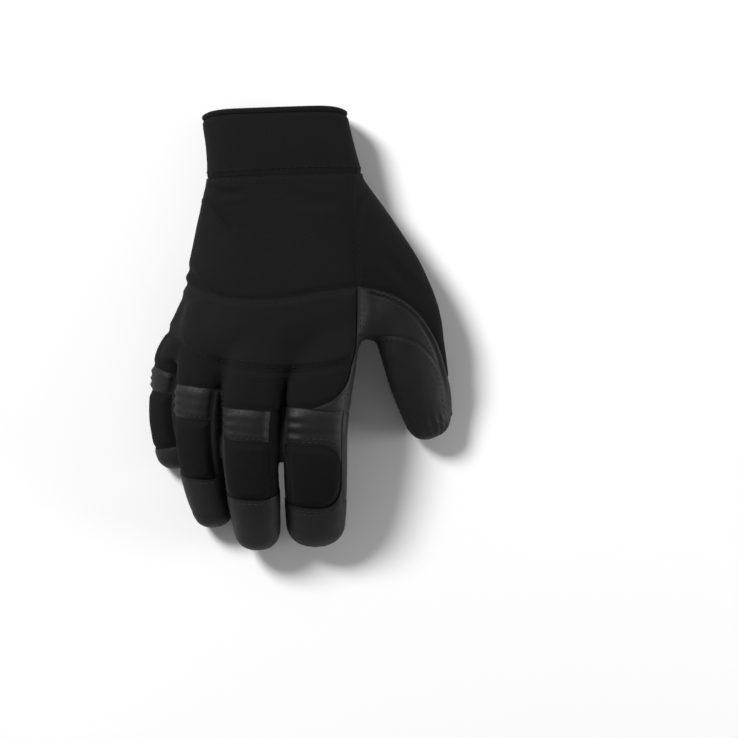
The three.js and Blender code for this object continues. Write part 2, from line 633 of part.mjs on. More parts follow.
piece("loop_patch", loopPatch, stretch);
piece("strap_tab", strapTab, moulded);

export default glove;
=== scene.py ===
import math
import bpy
import numpy as np
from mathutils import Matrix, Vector, noise
from mathutils.kdtree import KDTree


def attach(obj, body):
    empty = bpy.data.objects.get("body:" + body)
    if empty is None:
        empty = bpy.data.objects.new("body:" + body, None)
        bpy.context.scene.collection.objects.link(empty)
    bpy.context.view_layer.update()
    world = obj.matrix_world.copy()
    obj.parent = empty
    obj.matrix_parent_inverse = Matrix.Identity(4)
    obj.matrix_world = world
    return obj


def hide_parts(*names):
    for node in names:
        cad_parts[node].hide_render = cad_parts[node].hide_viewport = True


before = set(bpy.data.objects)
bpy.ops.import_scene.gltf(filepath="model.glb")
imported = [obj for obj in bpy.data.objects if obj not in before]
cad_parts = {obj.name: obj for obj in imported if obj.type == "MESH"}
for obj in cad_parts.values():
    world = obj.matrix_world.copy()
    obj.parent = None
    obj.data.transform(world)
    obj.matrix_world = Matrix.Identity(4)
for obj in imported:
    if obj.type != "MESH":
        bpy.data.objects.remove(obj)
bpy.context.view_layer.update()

# A right-hand work glove lying on its palm. All the working below is in millimetres,
# and makeObject turns it to metres.
metre = 0.001
fullTurn = 2 * math.pi

skin = {
    "voxel": 0.84,  # spacing of the skin's mesh before the panels are cut
    "smoothing": 26,  # rounds that even out the whole skin
    "easing": 100,  # further rounds at the eased places
    "squareness": 2.35,  # superellipse exponent of every section
    "sides": 96,  # points round a section
    "arcStretch": 1.04,  # a section's way round against a circle's
    "endShare": 0.48,  # a limb's end is rounded over this share of its width
    "sharp": math.radians(48),  # an edge bent further than this is drawn sharp
    "wristY": 75.2,  # the cuff seam
    "snap": 0.06,  # a point this near a seam counts as on it
}
# The cuff's seams slope, its rim dips at the corners, and its floor lies level over the strap
cuffSkew = {"rise": 0.035, "centre": -10, "from": 58, "over": 20}
rimShape = {"reach": 0.07, "corner": 2.6, "sharpness": 8, "from": 80, "over": 26}
cuffFloor = {"height": 4.6, "from": 62, "over": 13}

# The hand from cuff to knuckles, one row per section. The drops lower its two sides, and the
# seams are the heights at which the palm leather starts.
handRows = np.array([
    # y, left, right, mid, thick, dropL, dropR, seamL, seamR
    (118, -48.6, 22.6, 18.6, 33.0, 0, 0, 18, 18),
    (108, -48.4, 23.6, 18.6, 33.0, 0, 0, 18, 18),
    (92, -46.8, 27.0, 18.8, 33.6, 0, 0, 18, 18),
    (76, -46.4, 31.0, 18.2, 34.6, 0, 0, 18, 18),
    (62, -49.0, 34.5, 18.4, 39.8, 1, 0, 17, 18),
    (45, -52.5, 36.5, 20.4, 44.2, 3, 1, 15, 19),
    (25, -56.2, 37.0, 26.5, 43.0, 6, 2, 12, 22),
    (8, -58.4, 37.0, 31.0, 40.5, 10, 4, 9, 25),
    (-3, -63.8, 33.5, 33.6, 36.0, 13, 6, 7, 27),
    (-10, -68.2, 29.4, 34.8, 30.0, 14, 5, 6, 28),
    (-20, -70.2, 26.4, 35.6, 21.0, 15, 3, 5, 28),
])

# Webs between two fingers, and between the index and the thumb, and where the index and the
# middle finger press together: centre, then size across, along and up
webRows = [
    (-6.0, -19.5, 36.5, 15, 21, 21),
    (-34.6, -18, 35, 11, 16, 19),
    (-58.4, -5, 23, 9, 13, 15),
    (38.5, 4, 24.5, 26, 22, 24),
    (-8.7, -55, 38, 6, 26, 11),
]

# Where the skin is relaxed further, so that its forms run into each other: centre, then reach
easedPlaces = [
    (37, 6, 32, 20),
    (25, -13, 27, 15),
    (8, -5, 48, 25),
    (-20, -6, 50, 25),
    (-43, -7, 42, 22),
    (-62, -1, 16, 14),
    (-37, -17, 42, 12),
    (-6, -20, 46, 12),
    (-34, -18, 16, 16),
    (-8, -18, 16, 18),
]

# Centre line and section of each finger and the thumb, from inside the hand to the tip
limbRows = {
    # x, y, z, wide, thick, lean
    "index": [
        (14.0, 4, 30.0, 32.0, 29.0, 0), (12.2, -13, 34.5, 33.2, 28.5, 0),
        (9.5, -31, 37.0, 33.2, 26.0, 0), (8.0, -50, 36.5, 32.0, 24.5, 0),
        (8.0, -69, 31.5, 31.2, 23.0, 0), (8.1, -86, 22.8, 30.4, 21.0, 0),
        (8.0, -100, 13.4, 28.8, 18.5, 0), (8.1, -109.4, 7.6, 26.8, 16.5, 0),
    ],
    "middle": [
        (-17.5, 6, 33.0, 32.0, 29.5, 5), (-19.6, -11, 38.0, 32.0, 29.0, 8),
        (-21.8, -29, 41.0, 29.5, 26.5, 12), (-23.3, -49, 40.5, 27.6, 24.5, 16),
        (-23.6, -69, 35.0, 27.2, 23.0, 16), (-22.4, -87, 26.2, 25.4, 20.6, 14),
        (-21.3, -102, 15.0, 22.6, 18.5, 9), (-20.6, -109.5, 8.2, 21.0, 16.5, 6),
    ],
    "ring": [
        (-41.0, 8, 28.0, 29.0, 27.0, 14), (-44.0, -7, 31.0, 29.0, 26.5, 20),
        (-47.0, -24, 32.6, 26.6, 24.0, 26), (-48.8, -43, 31.2, 25.0, 22.4, 30),
        (-48.6, -61, 27.0, 24.8, 21.0, 30), (-46.9, -77, 18.8, 22.8, 19.2, 25),
        (-43.9, -91, 11.0, 20.4, 17.0, 16), (-41.8, -100, 7.2, 18.8, 15.2, 10),
    ],
    "little": [
        (-48.8, 12, 20.5, 16.2, 18.0, 25), (-54.6, -2, 18.4, 19.4, 20.0, 36),
        (-61.4, -15, 15.0, 21.2, 20.2, 44), (-64.3, -29, 11.6, 20.0, 18.8, 49),
        (-65.5, -43, 9.8, 20.4, 18.0, 49), (-64.8, -54, 8.6, 19.8, 16.8, 46),
        (-63.2, -63, 7.9, 19.2, 15.6, 40), (-61.9, -71.2, 7.2, 18.0, 14.6, 34),
    ],
    "thumb": [
        (14.0, 62, 18.0, 43.0, 30.0, 0), (29.5, 45, 18.8, 37.6, 34.0, -4),
        (43.0, 25, 20.0, 36.5, 34.0, -8), (52.0, 6, 19.6, 35.2, 30.5, -12),
        (56.4, -11, 17.4, 32.4, 27.0, -15), (60.0, -28, 14.0, 29.4, 23.6, -15),
        (63.8, -44, 10.0, 24.0, 20.0, -12), (68.0, -55.2, 7.6, 18.8, 17.0, -8),
    ],
}
handEnds = {"top": 92, "foot": -16, "cap": -19, "inset": 5}  # the hand's own solid, as Y
fingerNames = ["index", "middle", "ring", "little"]
# Superellipse exponent of the rounding at the end of each: the thumb's is blunter
endRounding = {"index": 2.3, "middle": 2.3, "ring": 2.3, "little": 2.3, "thumb": 2.8}

# Where each finger's panels start and change, as Y on its centre line
fingerPanels = {
    "index": {"ribs": -41, "pad": -56.5, "tip": -85.5, "corner": 13.0},
    "middle": {"ribs": -41, "pad": -54.5, "tip": -81.5},
    "ring": {"ribs": -30, "pad": -44.5, "tip": -71.5},
    "little": {"ribs": -21, "pad": -32.5, "tip": -60},
}
cutting = {
    "backAngle": math.radians(57),  # the back panels of a finger end here
    "splitAngle": math.radians(118),  # and the palm leather starts here
    "nose": 7.0,  # palm leather over the end of each finger and the thumb
    "corner": 0.8,  # rounding of a pad's corners, but for the index's outer ones
}

# Seams on the back of the hand, seen from above
seamLines = {
    "bandTop": [
        (-80, 32), (-56, 21), (-37, 14.4), (-20, 12.8), (-4, 14), (12, 17), (29.2, 19.4), (40, 21),
    ],
    "bandFoot": [
        (-80, 7), (-66, -2), (-52, -13.2), (-36, -19.4), (-14, -22.4), (8, -21.6), (26.8, -17.6),
        (40, -13),
    ],
    "thumbSide": [(26, 90), (26.2, 58), (28.4, 36), (29.2, 19.4), (29, 4), (28.4, -9), (26.8, -17.6)],
    "indexSide": [(26.8, -17.6), (24, -28.4), (18.6, -35.4), (12, -39), (5, -41.4), (-2, -44)],
    "saddleTop": [
        (29.2, 19.4), (38, 18), (48, 14.6), (56.6, 9), (63.6, 0.6), (69.2, -10), (73, -22),
        (75.4, -32), (76.8, -44), (76.4, -56), (74, -70),
    ],
    "thumbBack": [
        (33, -5), (47, -5), (57, -7.6), (64.6, -14), (69.6, -21.6), (72.2, -31), (73.4, -42),
        (72.6, -52), (68, -70),
    ],
}

# Corners off the panels that close the outlines which three of the seams are part of
closing = {
    "thumbSide": [(-2, -90), (110, -90), (110, 95), (26, 95)],
    "saddleTop": [(66, -90), (-20, -90), (-20, 19.2)],
    "thumbBack": [(60, -90), (28, -90), (28, -5)],
}

# How the palm leather's edge runs from the hand's sides on to the thumb and the fingers
palmSeam = {
    "bend": 2.5,  # how it crosses from one side's height to the other's
    "webIn": 8, "webOver": 14, "webTop": 60, "underThumb": 1,
    "thumbMark": 50, "thumbOver": 30,
    "fingerY": -18, "fingerOver": 18,
}


# Tables and forms
def spline(rows, s):
    s = np.asarray(s, float)
    i = np.clip(np.floor(s).astype(int), 0, len(rows) - 2)
    f = (s - i)[:, None]
    a, b, c, d = (rows[np.clip(i + k, 0, len(rows) - 1)] for k in (-1, 0, 1, 2))
    square, cube = 2 * a - 5 * b + 4 * c - d, 3 * b - 3 * c + d - a
    return 0.5 * (2 * b + (c - a) * f + square * f**2 + cube * f**3)


def smooth(v):
    v = np.clip(v, 0, 1)
    return v * v * (3 - 2 * v)


def power(v):
    return np.sign(v) * np.abs(v) ** (2 / skin["squareness"])


handFine = spline(handRows, np.linspace(0, len(handRows) - 1, 400))


def handAt(y):
    return [np.interp(-np.asarray(y, float), -handFine[:, 0], handFine[:, k]) for k in range(9)]


def skewAt(x):
    return cuffSkew["rise"] * (x - cuffSkew["centre"])


# A point on the hand's section at y, at an angle from its back, this far outside the skin
def handPoint(y, angle, grow):
    _, left, right, mid, thick, dropL, dropR, _, _ = handAt(y)
    u = power(np.sin(angle))
    x = (left + right) / 2 + ((right - left) / 2 + grow) * u
    z = mid - np.where(u < 0, dropL, dropR) * u * u + (thick / 2 + grow) * power(np.cos(angle))
    floor = cuffFloor["height"] * smooth((y - cuffFloor["from"]) / cuffFloor["over"])
    z = np.maximum(z, floor - grow)
    dip = rimShape["reach"] * (mid - z) - rimShape["corner"] * u ** rimShape["sharpness"]
    slant = skewAt(x) + dip * smooth((y - rimShape["from"]) / rimShape["over"])
    return np.stack([x, y + slant * smooth((y - cuffSkew["from"]) / cuffSkew["over"]), z], axis=-1)


# A limb's centre line, with the directions of its back and right side at every mark along it
def makeLimb(name):
    rows = np.array(limbRows[name], float)
    fine = spline(rows, np.linspace(0, len(rows) - 1, 320))
    centre = fine[:, :3]
    along = np.gradient(centre, axis=0)
    along /= np.linalg.norm(along, axis=1)[:, None]
    up = np.array([0, 0, 1.0]) - along * along[:, 2:3]
    up /= np.linalg.norm(up, axis=1)[:, None]
    side = np.cross(up, along)
    lean = np.radians(fine[:, 5])[:, None]
    mark = np.concatenate([[0], np.cumsum(np.linalg.norm(np.diff(centre, axis=0), axis=1))])
    return {
        "centre": centre, "along": along, "mark": mark, "length": mark[-1],
        "roundEnd": skin["endShare"] * rows[-1, 3], "rounding": endRounding[name],
        "back": up * np.cos(lean) - side * np.sin(lean),
        "right": side * np.cos(lean) + up * np.sin(lean),
        "wide": fine[:, 3], "thick": fine[:, 4],
    }


limbs = {name: makeLimb(name) for name in limbRows}


def limbAt(limb, mark, key):
    values = limb[key]
    if values.ndim == 1:
        return np.interp(mark, limb["mark"], values)
    return np.stack([np.interp(mark, limb["mark"], values[:, k]) for k in range(3)], axis=-1)


def limbPoint(limb, mark, angle, grow=0.0):
    inside = np.minimum(mark, limb["length"])
    centre, along, back, right = (limbAt(limb, inside, k) for k in ("centre", "along", "back", "right"))
    left = np.maximum(0, limb["length"] + grow - mark) / (limb["roundEnd"] + grow)
    n = limb["rounding"]
    close = np.where(left < 1, (1 - (1 - np.minimum(left, 1)) ** n) ** (1 / n), 1)
    across = (limbAt(limb, inside, "wide") / 2 + grow) * close * power(np.sin(angle))
    rise = (limbAt(limb, inside, "thick") / 2 + grow) * close * power(np.cos(angle))
    point = centre + along * np.maximum(0, mark - limb["length"])[:, None]
    point = point + right * across[:, None] + back * rise[:, None]
    point[:, 2] = np.maximum(point[:, 2], -grow)
    return point


def markAt(limb, y):
    return float(np.interp(-y, -limb["centre"][:, 1], limb["mark"]))


# Meshes
def makeObject(name, verts, faces, material=None, uv=None):
    mesh = bpy.data.meshes.new(name)
    mesh.from_pydata((np.asarray(verts) * metre).tolist(), [], [list(map(int, f)) for f in faces])
    mesh.validate()
    if uv is not None:
        corner = np.zeros(len(mesh.loops), dtype=np.int64)
        mesh.loops.foreach_get("vertex_index", corner)
        layer = mesh.uv_layers.new(name="cloth")
        layer.data.foreach_set("uv", np.asarray(uv, float)[corner].ravel())
    mesh.polygons.foreach_set("use_smooth", [True] * len(mesh.polygons))
    mesh.set_sharp_from_angle(angle=skin["sharp"])
    piece = bpy.data.objects.new(name, mesh)
    bpy.context.scene.collection.objects.link(piece)
    if material:
        mesh.materials.append(material)
    return piece


def gridFaces(rows, columns, wrap=False, start=0, flip=False, closed=False):
    faces = []
    for i in range(rows if closed else rows - 1):
        near, far = start + i * columns, start + (i + 1) % rows * columns
        for j in range(columns if wrap else columns - 1):
            k = (j + 1) % columns
            quad = (near + j, near + k, far + k, far + j)
            faces.append(quad[::-1] if flip else quad)
    return faces


def closedLoft(rings):
    rings = np.asarray(rings)
    rows, columns = rings.shape[:2]
    verts = np.concatenate([rings.reshape(-1, 3), [rings[0].mean(axis=0), rings[-1].mean(axis=0)]])
    faces = gridFaces(rows, columns, wrap=True)
    first, last = rows * columns, rows * columns + 1
    for j in range(columns):
        k = (j + 1) % columns
        faces.append((first, k, j))
        faces.append((last, (rows - 1) * columns + j, (rows - 1) * columns + k))
    return verts, faces


# Moves the points at the eased places towards their neighbours' mean, round by round
def easeSkin(points, triangles):
    weight = np.zeros(len(points))
    for x, y, z, reach in easedPlaces:
        away = np.linalg.norm(points - (x, y, z), axis=1) / reach
        weight = np.maximum(weight, smooth(1.4 - 1.4 * away))
    edges = np.concatenate([triangles[:, [0, 1]], triangles[:, [1, 2]], triangles[:, [2, 0]]])
    edges = edges[weight[edges].max(axis=1) > 0]
    count = np.maximum(np.bincount(edges[:, 0], minlength=len(points)), 1)
    for _ in range(skin["easing"]):
        ends = points[edges[:, 1]]
        mean = [np.bincount(edges[:, 0], ends[:, k], len(points)) / count for k in range(3)]
        points = points + weight[:, None] * 0.5 * (np.stack(mean, axis=1) - points)
    return points


def skinNormals(points, triangles):
    a, b, c = (points[triangles[:, k]] for k in range(3))
    face = np.cross(b - a, c - a)
    total = np.stack([
        sum(np.bincount(triangles[:, corner], face[:, axis], len(points)) for corner in range(3))
        for axis in range(3)
    ], axis=1)
    return total / np.maximum(np.linalg.norm(total, axis=1), 1e-9)[:, None]


def handSolid(sides):
    full = np.ones(len(sides))
    rings = [handPoint(y * full, sides, 0) for y in np.linspace(handEnds["top"], handEnds["foot"], 84)]
    end = handPoint(handEnds["cap"] * full, sides, -handEnds["inset"])
    end[:, 1] = handEnds["cap"]
    return closedLoft(rings + [end])


def limbSolid(limb, sides):
    shoulder = limb["length"] - limb["roundEnd"]
    nose = shoulder + limb["roundEnd"] * np.sin(np.linspace(0.1, math.pi / 2, 14))
    marks = np.concatenate([np.linspace(0, shoulder, 60), nose])
    return closedLoft([limbPoint(limb, np.full(len(sides), m), sides) for m in marks])


def webSolid(row, sides):
    x, y, z, wide, deep, tall = row
    rings = []
    for tilt in np.linspace(0.05, math.pi - 0.05, 30):
        across = x + wide / 2 * math.sin(tilt) * np.cos(sides)
        along = y + deep / 2 * math.sin(tilt) * np.sin(sides)
        height = np.full(len(sides), z + tall / 2 * math.cos(tilt))
        rings.append(np.stack([across, along, height], axis=-1))
    return closedLoft(rings)


# Joins the hand, limbs and webs into one skin and evens it out
def buildSkin():
    sides = np.linspace(0, fullTurn, skin["sides"] + 1)[:-1]
    solids = [handSolid(sides)]
    solids += [limbSolid(limb, sides) for limb in limbs.values()]
    solids += [webSolid(row, sides) for row in webRows]
    verts, faces, offset = [], [], 0
    for v, f in solids:
        verts.append(v)
        faces += [[i + offset for i in face] for face in f]
        offset += len(v)
    rough = makeObject("roughSkin", np.concatenate(verts), faces)
    bpy.context.view_layer.objects.active = rough
    remesh = rough.modifiers.new("remesh", "REMESH")
    remesh.mode = "VOXEL"
    remesh.voxel_size = skin["voxel"] * metre
    relax = rough.modifiers.new("relax", "SMOOTH")
    relax.factor = 0.5
    relax.iterations = skin["smoothing"]
    depsgraph = bpy.context.evaluated_depsgraph_get()
    made = bpy.data.meshes.new_from_object(rough.evaluated_get(depsgraph))
    made.calc_loop_triangles()
    points = np.zeros(len(made.vertices) * 3)
    made.vertices.foreach_get("co", points)
    triangles = np.zeros(len(made.loop_triangles) * 3, dtype=np.int64)
    made.loop_triangles.foreach_get("vertices", triangles)
    bpy.data.objects.remove(rough)
    triangles = triangles.reshape(-1, 3)
    points = easeSkin(points.reshape(-1, 3) / metre, triangles)
    return points, skinNormals(points, triangles), triangles


print("glove: building the skin")
points, normals, triangles = buildSkin()
print("glove: skin has", len(points), "points")


# Fields on the skin, in millimetres: each seam is where one of them is zero
def curveThrough(line, count=160):
    line = np.array(line, float)
    return spline(line, np.linspace(0, len(line) - 1, count))


# Distance to an outline seen from above, negative inside it
def polygonField(xy, outline):
    best = np.full(len(xy), 1e9)
    inside = np.zeros(len(xy), bool)
    for a, b in zip(outline, np.roll(outline, -1, axis=0)):
        run = b - a
        t = np.clip(((xy - a) @ run) / max(run @ run, 1e-12), 0, 1)
        best = np.minimum(best, np.linalg.norm(xy - a - t[:, None] * run, axis=1))
        crosses = (a[1] > xy[:, 1]) != (b[1] > xy[:, 1])
        rise = np.where(b[1] == a[1], 1e-12, b[1] - a[1])
        inside ^= crosses & (xy[:, 0] < (b[0] - a[0]) * (xy[:, 1] - a[1]) / rise + a[0])
    return np.where(inside, -best, best)


# Nearest mark, how far out (1 is the skin), angle and signed arc from the back
def limbFields(limb, points):
    batch, sparse = 4000, 4  # points at a time, and every which step of the centre line
    near = np.zeros(len(points), dtype=np.int64)
    for start in range(0, len(points), batch):
        part = points[start:start + batch]
        gap = ((part[:, None, :] - limb["centre"][None, ::sparse]) ** 2).sum(axis=2)
        near[start:start + batch] = gap.argmin(axis=1) * sparse
    offset = points - limb["centre"][near]
    mark = limb["mark"][near] + (offset * limb["along"][near]).sum(axis=1)
    wide, thick = limb["wide"][near] / 2, limb["thick"][near] / 2
    u = (offset * limb["right"][near]).sum(axis=1) / wide
    v = (offset * limb["back"][near]).sum(axis=1) / thick
    n = skin["squareness"]
    out = (np.abs(u) ** n + np.abs(v) ** n) ** (1 / n) + 1e-9
    angle = np.arctan2(np.sign(u) * np.abs(u / out) ** (n / 2), np.sign(v) * np.abs(v / out) ** (n / 2))
    return mark, out, angle, angle * (wide + thick) / 2 * skin["arcStretch"]


# The sides, the pad and the tip of one finger
def fingerFields(name, mark, arc, radius):
    panel = fingerPanels[name]
    start, end = (markAt(limbs[name], panel[key]) for key in ("pad", "tip"))
    along = mark - (start + end) / 2
    beside = np.abs(arc) - radius * cutting["backAngle"]
    corner = np.where(arc > 0, panel.get("corner", cutting["corner"]), cutting["corner"])
    beyondX = beside + corner
    beyondY = np.abs(along) - (end - start) / 2 + corner
    outside = np.hypot(np.maximum(beyondX, 0), np.maximum(beyondY, 0))
    return {
        "back_" + name: beside,
        "pad_" + name: np.minimum(np.maximum(beyondX, beyondY), 0) + outside - corner,
        "tip_" + name: np.maximum(mark - end, np.minimum(along, -beside)),
    }


# All fields by name: own is the limb that a point lies nearest to
def buildFields(points):
    x, y, z = points.T
    limbData = {name: limbFields(limb, points) for name, limb in limbs.items()}
    names = list(limbs)
    own = np.stack([limbData[name][1] for name in names]).argmin(axis=0)
    _, left, right, _, _, _, _, seamL, seamR = handAt(y)
    across = np.clip((x - left) / (right - left), 0, 1)
    height = seamL + (seamR - seamL) * (1 - (1 - across) ** palmSeam["bend"])
    thumbMark = limbData["thumb"][0]
    onThumb = smooth((x - right + palmSeam["webIn"]) / palmSeam["webOver"]) * (y < palmSeam["webTop"])
    tilted = limbAt(limbs["thumb"], thumbMark, "centre")[:, 2] - palmSeam["underThumb"]
    height = height + (tilted - height) * onThumb
    handPalm = height - z
    palm = handPalm.copy()
    fields = {"mark": np.zeros(len(points)), "arc": np.zeros(len(points)), "own": own.astype(float)}
    ribs = np.full(len(points), -50.0)  # the hand lies before the joints, and the thumb has none
    for index, name in enumerate(names):
        mark, _, angle, arc = limbData[name]
        mine = own == index
        limb = limbs[name]
        radius = np.abs(arc) / np.maximum(np.abs(angle), 1e-6)
        fields["mark"][mine] = mark[mine]
        fields["arc"][mine] = arc[mine]
        if name == "thumb":
            tip = mark - (limb["length"] - cutting["nose"])
            under = np.maximum(np.abs(arc) - radius * math.pi / 2, tip)
            share = smooth((mark - palmSeam["thumbMark"]) / palmSeam["thumbOver"])
        else:
            under = np.abs(arc) - radius * cutting["splitAngle"]
            under = np.minimum(under, limb["length"] - cutting["nose"] - mark)
            share = 1 - smooth((y - palmSeam["fingerY"]) / palmSeam["fingerOver"])
            ribs[mine] = (mark - markAt(limb, fingerPanels[name]["ribs"]))[mine]
            fields.update(fingerFields(name, mark, arc, radius))
        palm[mine] = (handPalm * (1 - share) + under * share)[mine]
    fields["palm"] = palm
    fields["ribs"] = ribs
    fields["wrist"] = y - skewAt(x) - skin["wristY"]
    seams = {key: curveThrough(line) for key, line in seamLines.items()}
    for key in ("bandTop", "bandFoot"):
        fields[key] = y - np.interp(x, seams[key][:, 0], seams[key][:, 1])
    outlines = {
        "thumbRegion": [seams["thumbSide"], seams["indexSide"][1:], closing["thumbSide"]],
        "saddle": [seams["saddleTop"], closing["saddleTop"]],
        "thumbBack": [seams["thumbBack"], closing["thumbBack"]],
    }
    for key, parts in outlines.items():
        fields[key] = polygonField(points[:, :2], np.concatenate(parts))
    return fields


fields = buildFields(points)
fieldNames = list(fields)
data = np.column_stack([points, normals] + [fields[name] for name in fieldNames])
columnOf = {name: 6 + i for i, name in enumerate(fieldNames)}


# Cuts the faces along one field's zero line into those below it and those above it
def split(faces, name):
    global data
    values = data[:, columnOf[name]]
    values = np.where(np.abs(values) < skin["snap"], 0.0, values)
    sign = np.sign(values[faces])
    low, high = sign.min(axis=1), sign.max(axis=1)
    below = faces[high <= 0]
    above = faces[(low >= 0) & (high > 0)]
    mixed = faces[(low < 0) & (high > 0)]
    made, newRows = {}, []

    def crossing(a, b):
        key = (a, b) if a < b else (b, a)
        if key not in made:
            va, vb = values[key[0]], values[key[1]]
            t = va / (va - vb)
            made[key] = len(data) + len(newRows)
            newRows.append(data[key[0]] * (1 - t) + data[key[1]] * t)
        return made[key]

    extraBelow, extraAbove = [], []
    for tri in mixed.tolist():
        ring = []
        for k in range(3):
            a, b = tri[k], tri[(k + 1) % 3]
            ring.append((a, np.sign(values[a])))
            if values[a] * values[b] < 0:
                ring.append((crossing(a, b), 0))
        for want, target in ((-1, extraBelow), (1, extraAbove)):
            part = [v for v, s in ring if s == want or s == 0]
            for k in range(1, len(part) - 1):
                target.append((part[0], part[k], part[k + 1]))
    if newRows:
        data = np.vstack([data, np.array(newRows)])
    return tuple(
        np.concatenate([old, np.array(extra, dtype=np.int64).reshape(-1, 3)])
        for old, extra in ((below, extraBelow), (above, extraAbove))
    )


print("glove: cutting the panels")
hand = split(triangles, "wrist")[0]
upper, palmFaces = split(hand, "palm")
handUpper, fingerUpper = split(upper, "ribs")
panels = {"palm_leather": palmFaces}
thumbSet, backSet = split(handUpper, "thumbRegion")
saddleSet, panels["thumb_side_panel"] = split(thumbSet, "saddle")
panels["thumb_back"], panels["thumb_saddle"] = split(saddleSet, "thumbBack")
below, panels["back_panel"] = split(backSet, "bandTop")
panels["finger_base_panel"], panels["knuckle_band"] = split(below, "bandFoot")
ownOf = np.round(data[:, columnOf["own"]][fingerUpper[:, 0]]).astype(int)
for index, name in enumerate(fingerNames):
    mine = fingerUpper[ownOf == index]
    panels["finger_pad_" + name], rest = split(mine, "pad_" + name)
    rest, panels["tip_wrap_" + name] = split(rest, "tip_" + name)
    panels["flex_ribs_" + name], sides = split(rest, "back_" + name)
    thumbward = data[:, columnOf["arc"]][sides].mean(axis=1) > 0
    panels[f"side_strip_{name}_thumb_side"] = sides[thumbward]
    panels[f"side_strip_{name}_little_side"] = sides[~thumbward]
for name, faces in panels.items():
    print("glove:", name, len(faces))


# Finishes
def linear(code):
    parts = [int(code[i:i + 2], 16) / 255 for i in (1, 3, 5)]
    return tuple(v / 12.92 if v <= 0.04045 else ((v + 0.055) / 1.055) ** 2.4 for v in parts) + (1.0,)


# One shader node, with its settings, its plain values and its links. An input is given by
# its name, or by n and its number.
def addNode(tree, kind, settings=None, **inputs):
    node = tree.nodes.new(kind)
    for key, value in (settings or {}).items():
        setattr(node, key, value)
    for key, value in inputs.items():
        numbered = key[0] == "n" and key[1:].isdigit()
        socket = node.inputs[int(key[1:]) if numbered else key]
        if isinstance(value, bpy.types.NodeSocket):
            tree.links.new(value, socket)
        else:
            socket.default_value = value
    return node


def bands(pitch):
    return fullTurn / (20 * pitch)  # scale of a wave texture whose bands are this far apart


# A shader from two colours and their mottling, a surface pattern in millimetres and its gloss
def makeFinish(name, look):
    material = bpy.data.materials.new(name)
    material.use_nodes = True
    tree = material.node_tree
    shader = tree.nodes["Principled BSDF"]
    wear = 0.06  # how much duller or glossier a place is than the whole
    place = addNode(tree, "ShaderNodeTexCoord")
    spot = addNode(
        tree, "ShaderNodeMapping", Vector=place.outputs["Object"], Scale=(1000, 1000, 1000),
    ).outputs[0]
    cloth = place.outputs["UV"]
    mottle = addNode(
        tree, "ShaderNodeTexNoise", Vector=spot, Scale=1 / look["mottle"], Detail=4, Roughness=0.6,
    )
    shade = addNode(
        tree, "ShaderNodeMix", {"data_type": "RGBA"},
        n0=mottle.outputs[0], n6=linear(look["dark"]), n7=linear(look["light"]),
    )
    tree.links.new(shade.outputs[2], shader.inputs["Base Color"])
    worn = addNode(
        tree, "ShaderNodeMapRange",
        n0=mottle.outputs[0], n1=0.3, n2=0.7, n3=look["rough"] - wear, n4=look["rough"] + wear,
    )
    tree.links.new(worn.outputs[0], shader.inputs["Roughness"])
    shader.inputs["Specular IOR Level"].default_value = look["specular"]
    shader.inputs["Sheen Weight"].default_value = look.get("sheen", 0)
    shader.inputs["Sheen Roughness"].default_value = 0.5
    pitch, coursePitch = look["pitch"], look["pitch"] * 1.3
    if look["pattern"] == "grain":  # pebbles of pressed leather
        cells = addNode(
            tree, "ShaderNodeTexVoronoi", {"feature": "SMOOTH_F1"}, Vector=spot, Scale=1 / pitch,
        )
        height = cells.outputs["Distance"]
    if look["pattern"] == "knit":  # columns of loops crossed by courses
        across = addNode(
            tree, "ShaderNodeTexWave", {"bands_direction": "X"},
            Vector=cloth, Scale=bands(pitch), Distortion=1.2, n3=1,
        )
        along = addNode(
            tree, "ShaderNodeTexWave", {"bands_direction": "Y"}, Vector=cloth, Scale=bands(coursePitch),
        )
        height = addNode(
            tree, "ShaderNodeMath", {"operation": "MULTIPLY"}, n0=across.outputs[1], n1=along.outputs[1],
        ).outputs[0]
    if look["pattern"] == "ribs":  # elastic cords under the knit
        cords = addNode(
            tree, "ShaderNodeTexWave", {"bands_direction": "X"},
            Vector=cloth, Scale=bands(pitch), Distortion=0.6,
        )
        height = cords.outputs[1]
    if look["pattern"] == "nap":  # short brushed fibres
        fibres = addNode(
            tree, "ShaderNodeTexNoise", Vector=spot, Scale=1 / pitch, Detail=5, Roughness=0.75,
        )
        height = fibres.outputs[0]
    coarse = addNode(
        tree, "ShaderNodeBump",
        Height=mottle.outputs[0], Distance=look["relief"] * 2 * metre, Strength=0.5,
    )
    fine = addNode(
        tree, "ShaderNodeBump",
        Height=height, Distance=look["relief"] * metre, Strength=1.0, Normal=coarse.outputs[0],
    )
    tree.links.new(fine.outputs[0], shader.inputs["Normal"])
    return material


# Synthetic leather with a pressed grain: soft highlights where it turns
leather = makeFinish("black_grain_leather", {
    "dark": "#121213", "light": "#181819", "mottle": 9, "rough": 0.58, "specular": 0.24,
    "pattern": "grain", "pitch": 0.9, "relief": 0.06,
})
# Four-way stretch jersey: matte, with almost no highlight
stretchCloth = makeFinish("black_stretch_jersey", {
    "dark": "#121212", "light": "#171717", "mottle": 7, "rough": 0.92, "specular": 0.06, "sheen": 0.015,
    "pattern": "knit", "pitch": 0.9, "relief": 0.1,
})
# The same black jersey on the strips in the gaps between the fingers, painted a shade lighter as fill
# light where the lamps leave these gaps dark
paintedFillJersey = makeFinish("jersey_painted_fill_light", {
    "dark": "#232324", "light": "#2a2a2b", "mottle": 6, "rough": 0.88, "specular": 0.08, "sheen": 0.02,
    "pattern": "knit", "pitch": 0.9, "relief": 0.08,
})
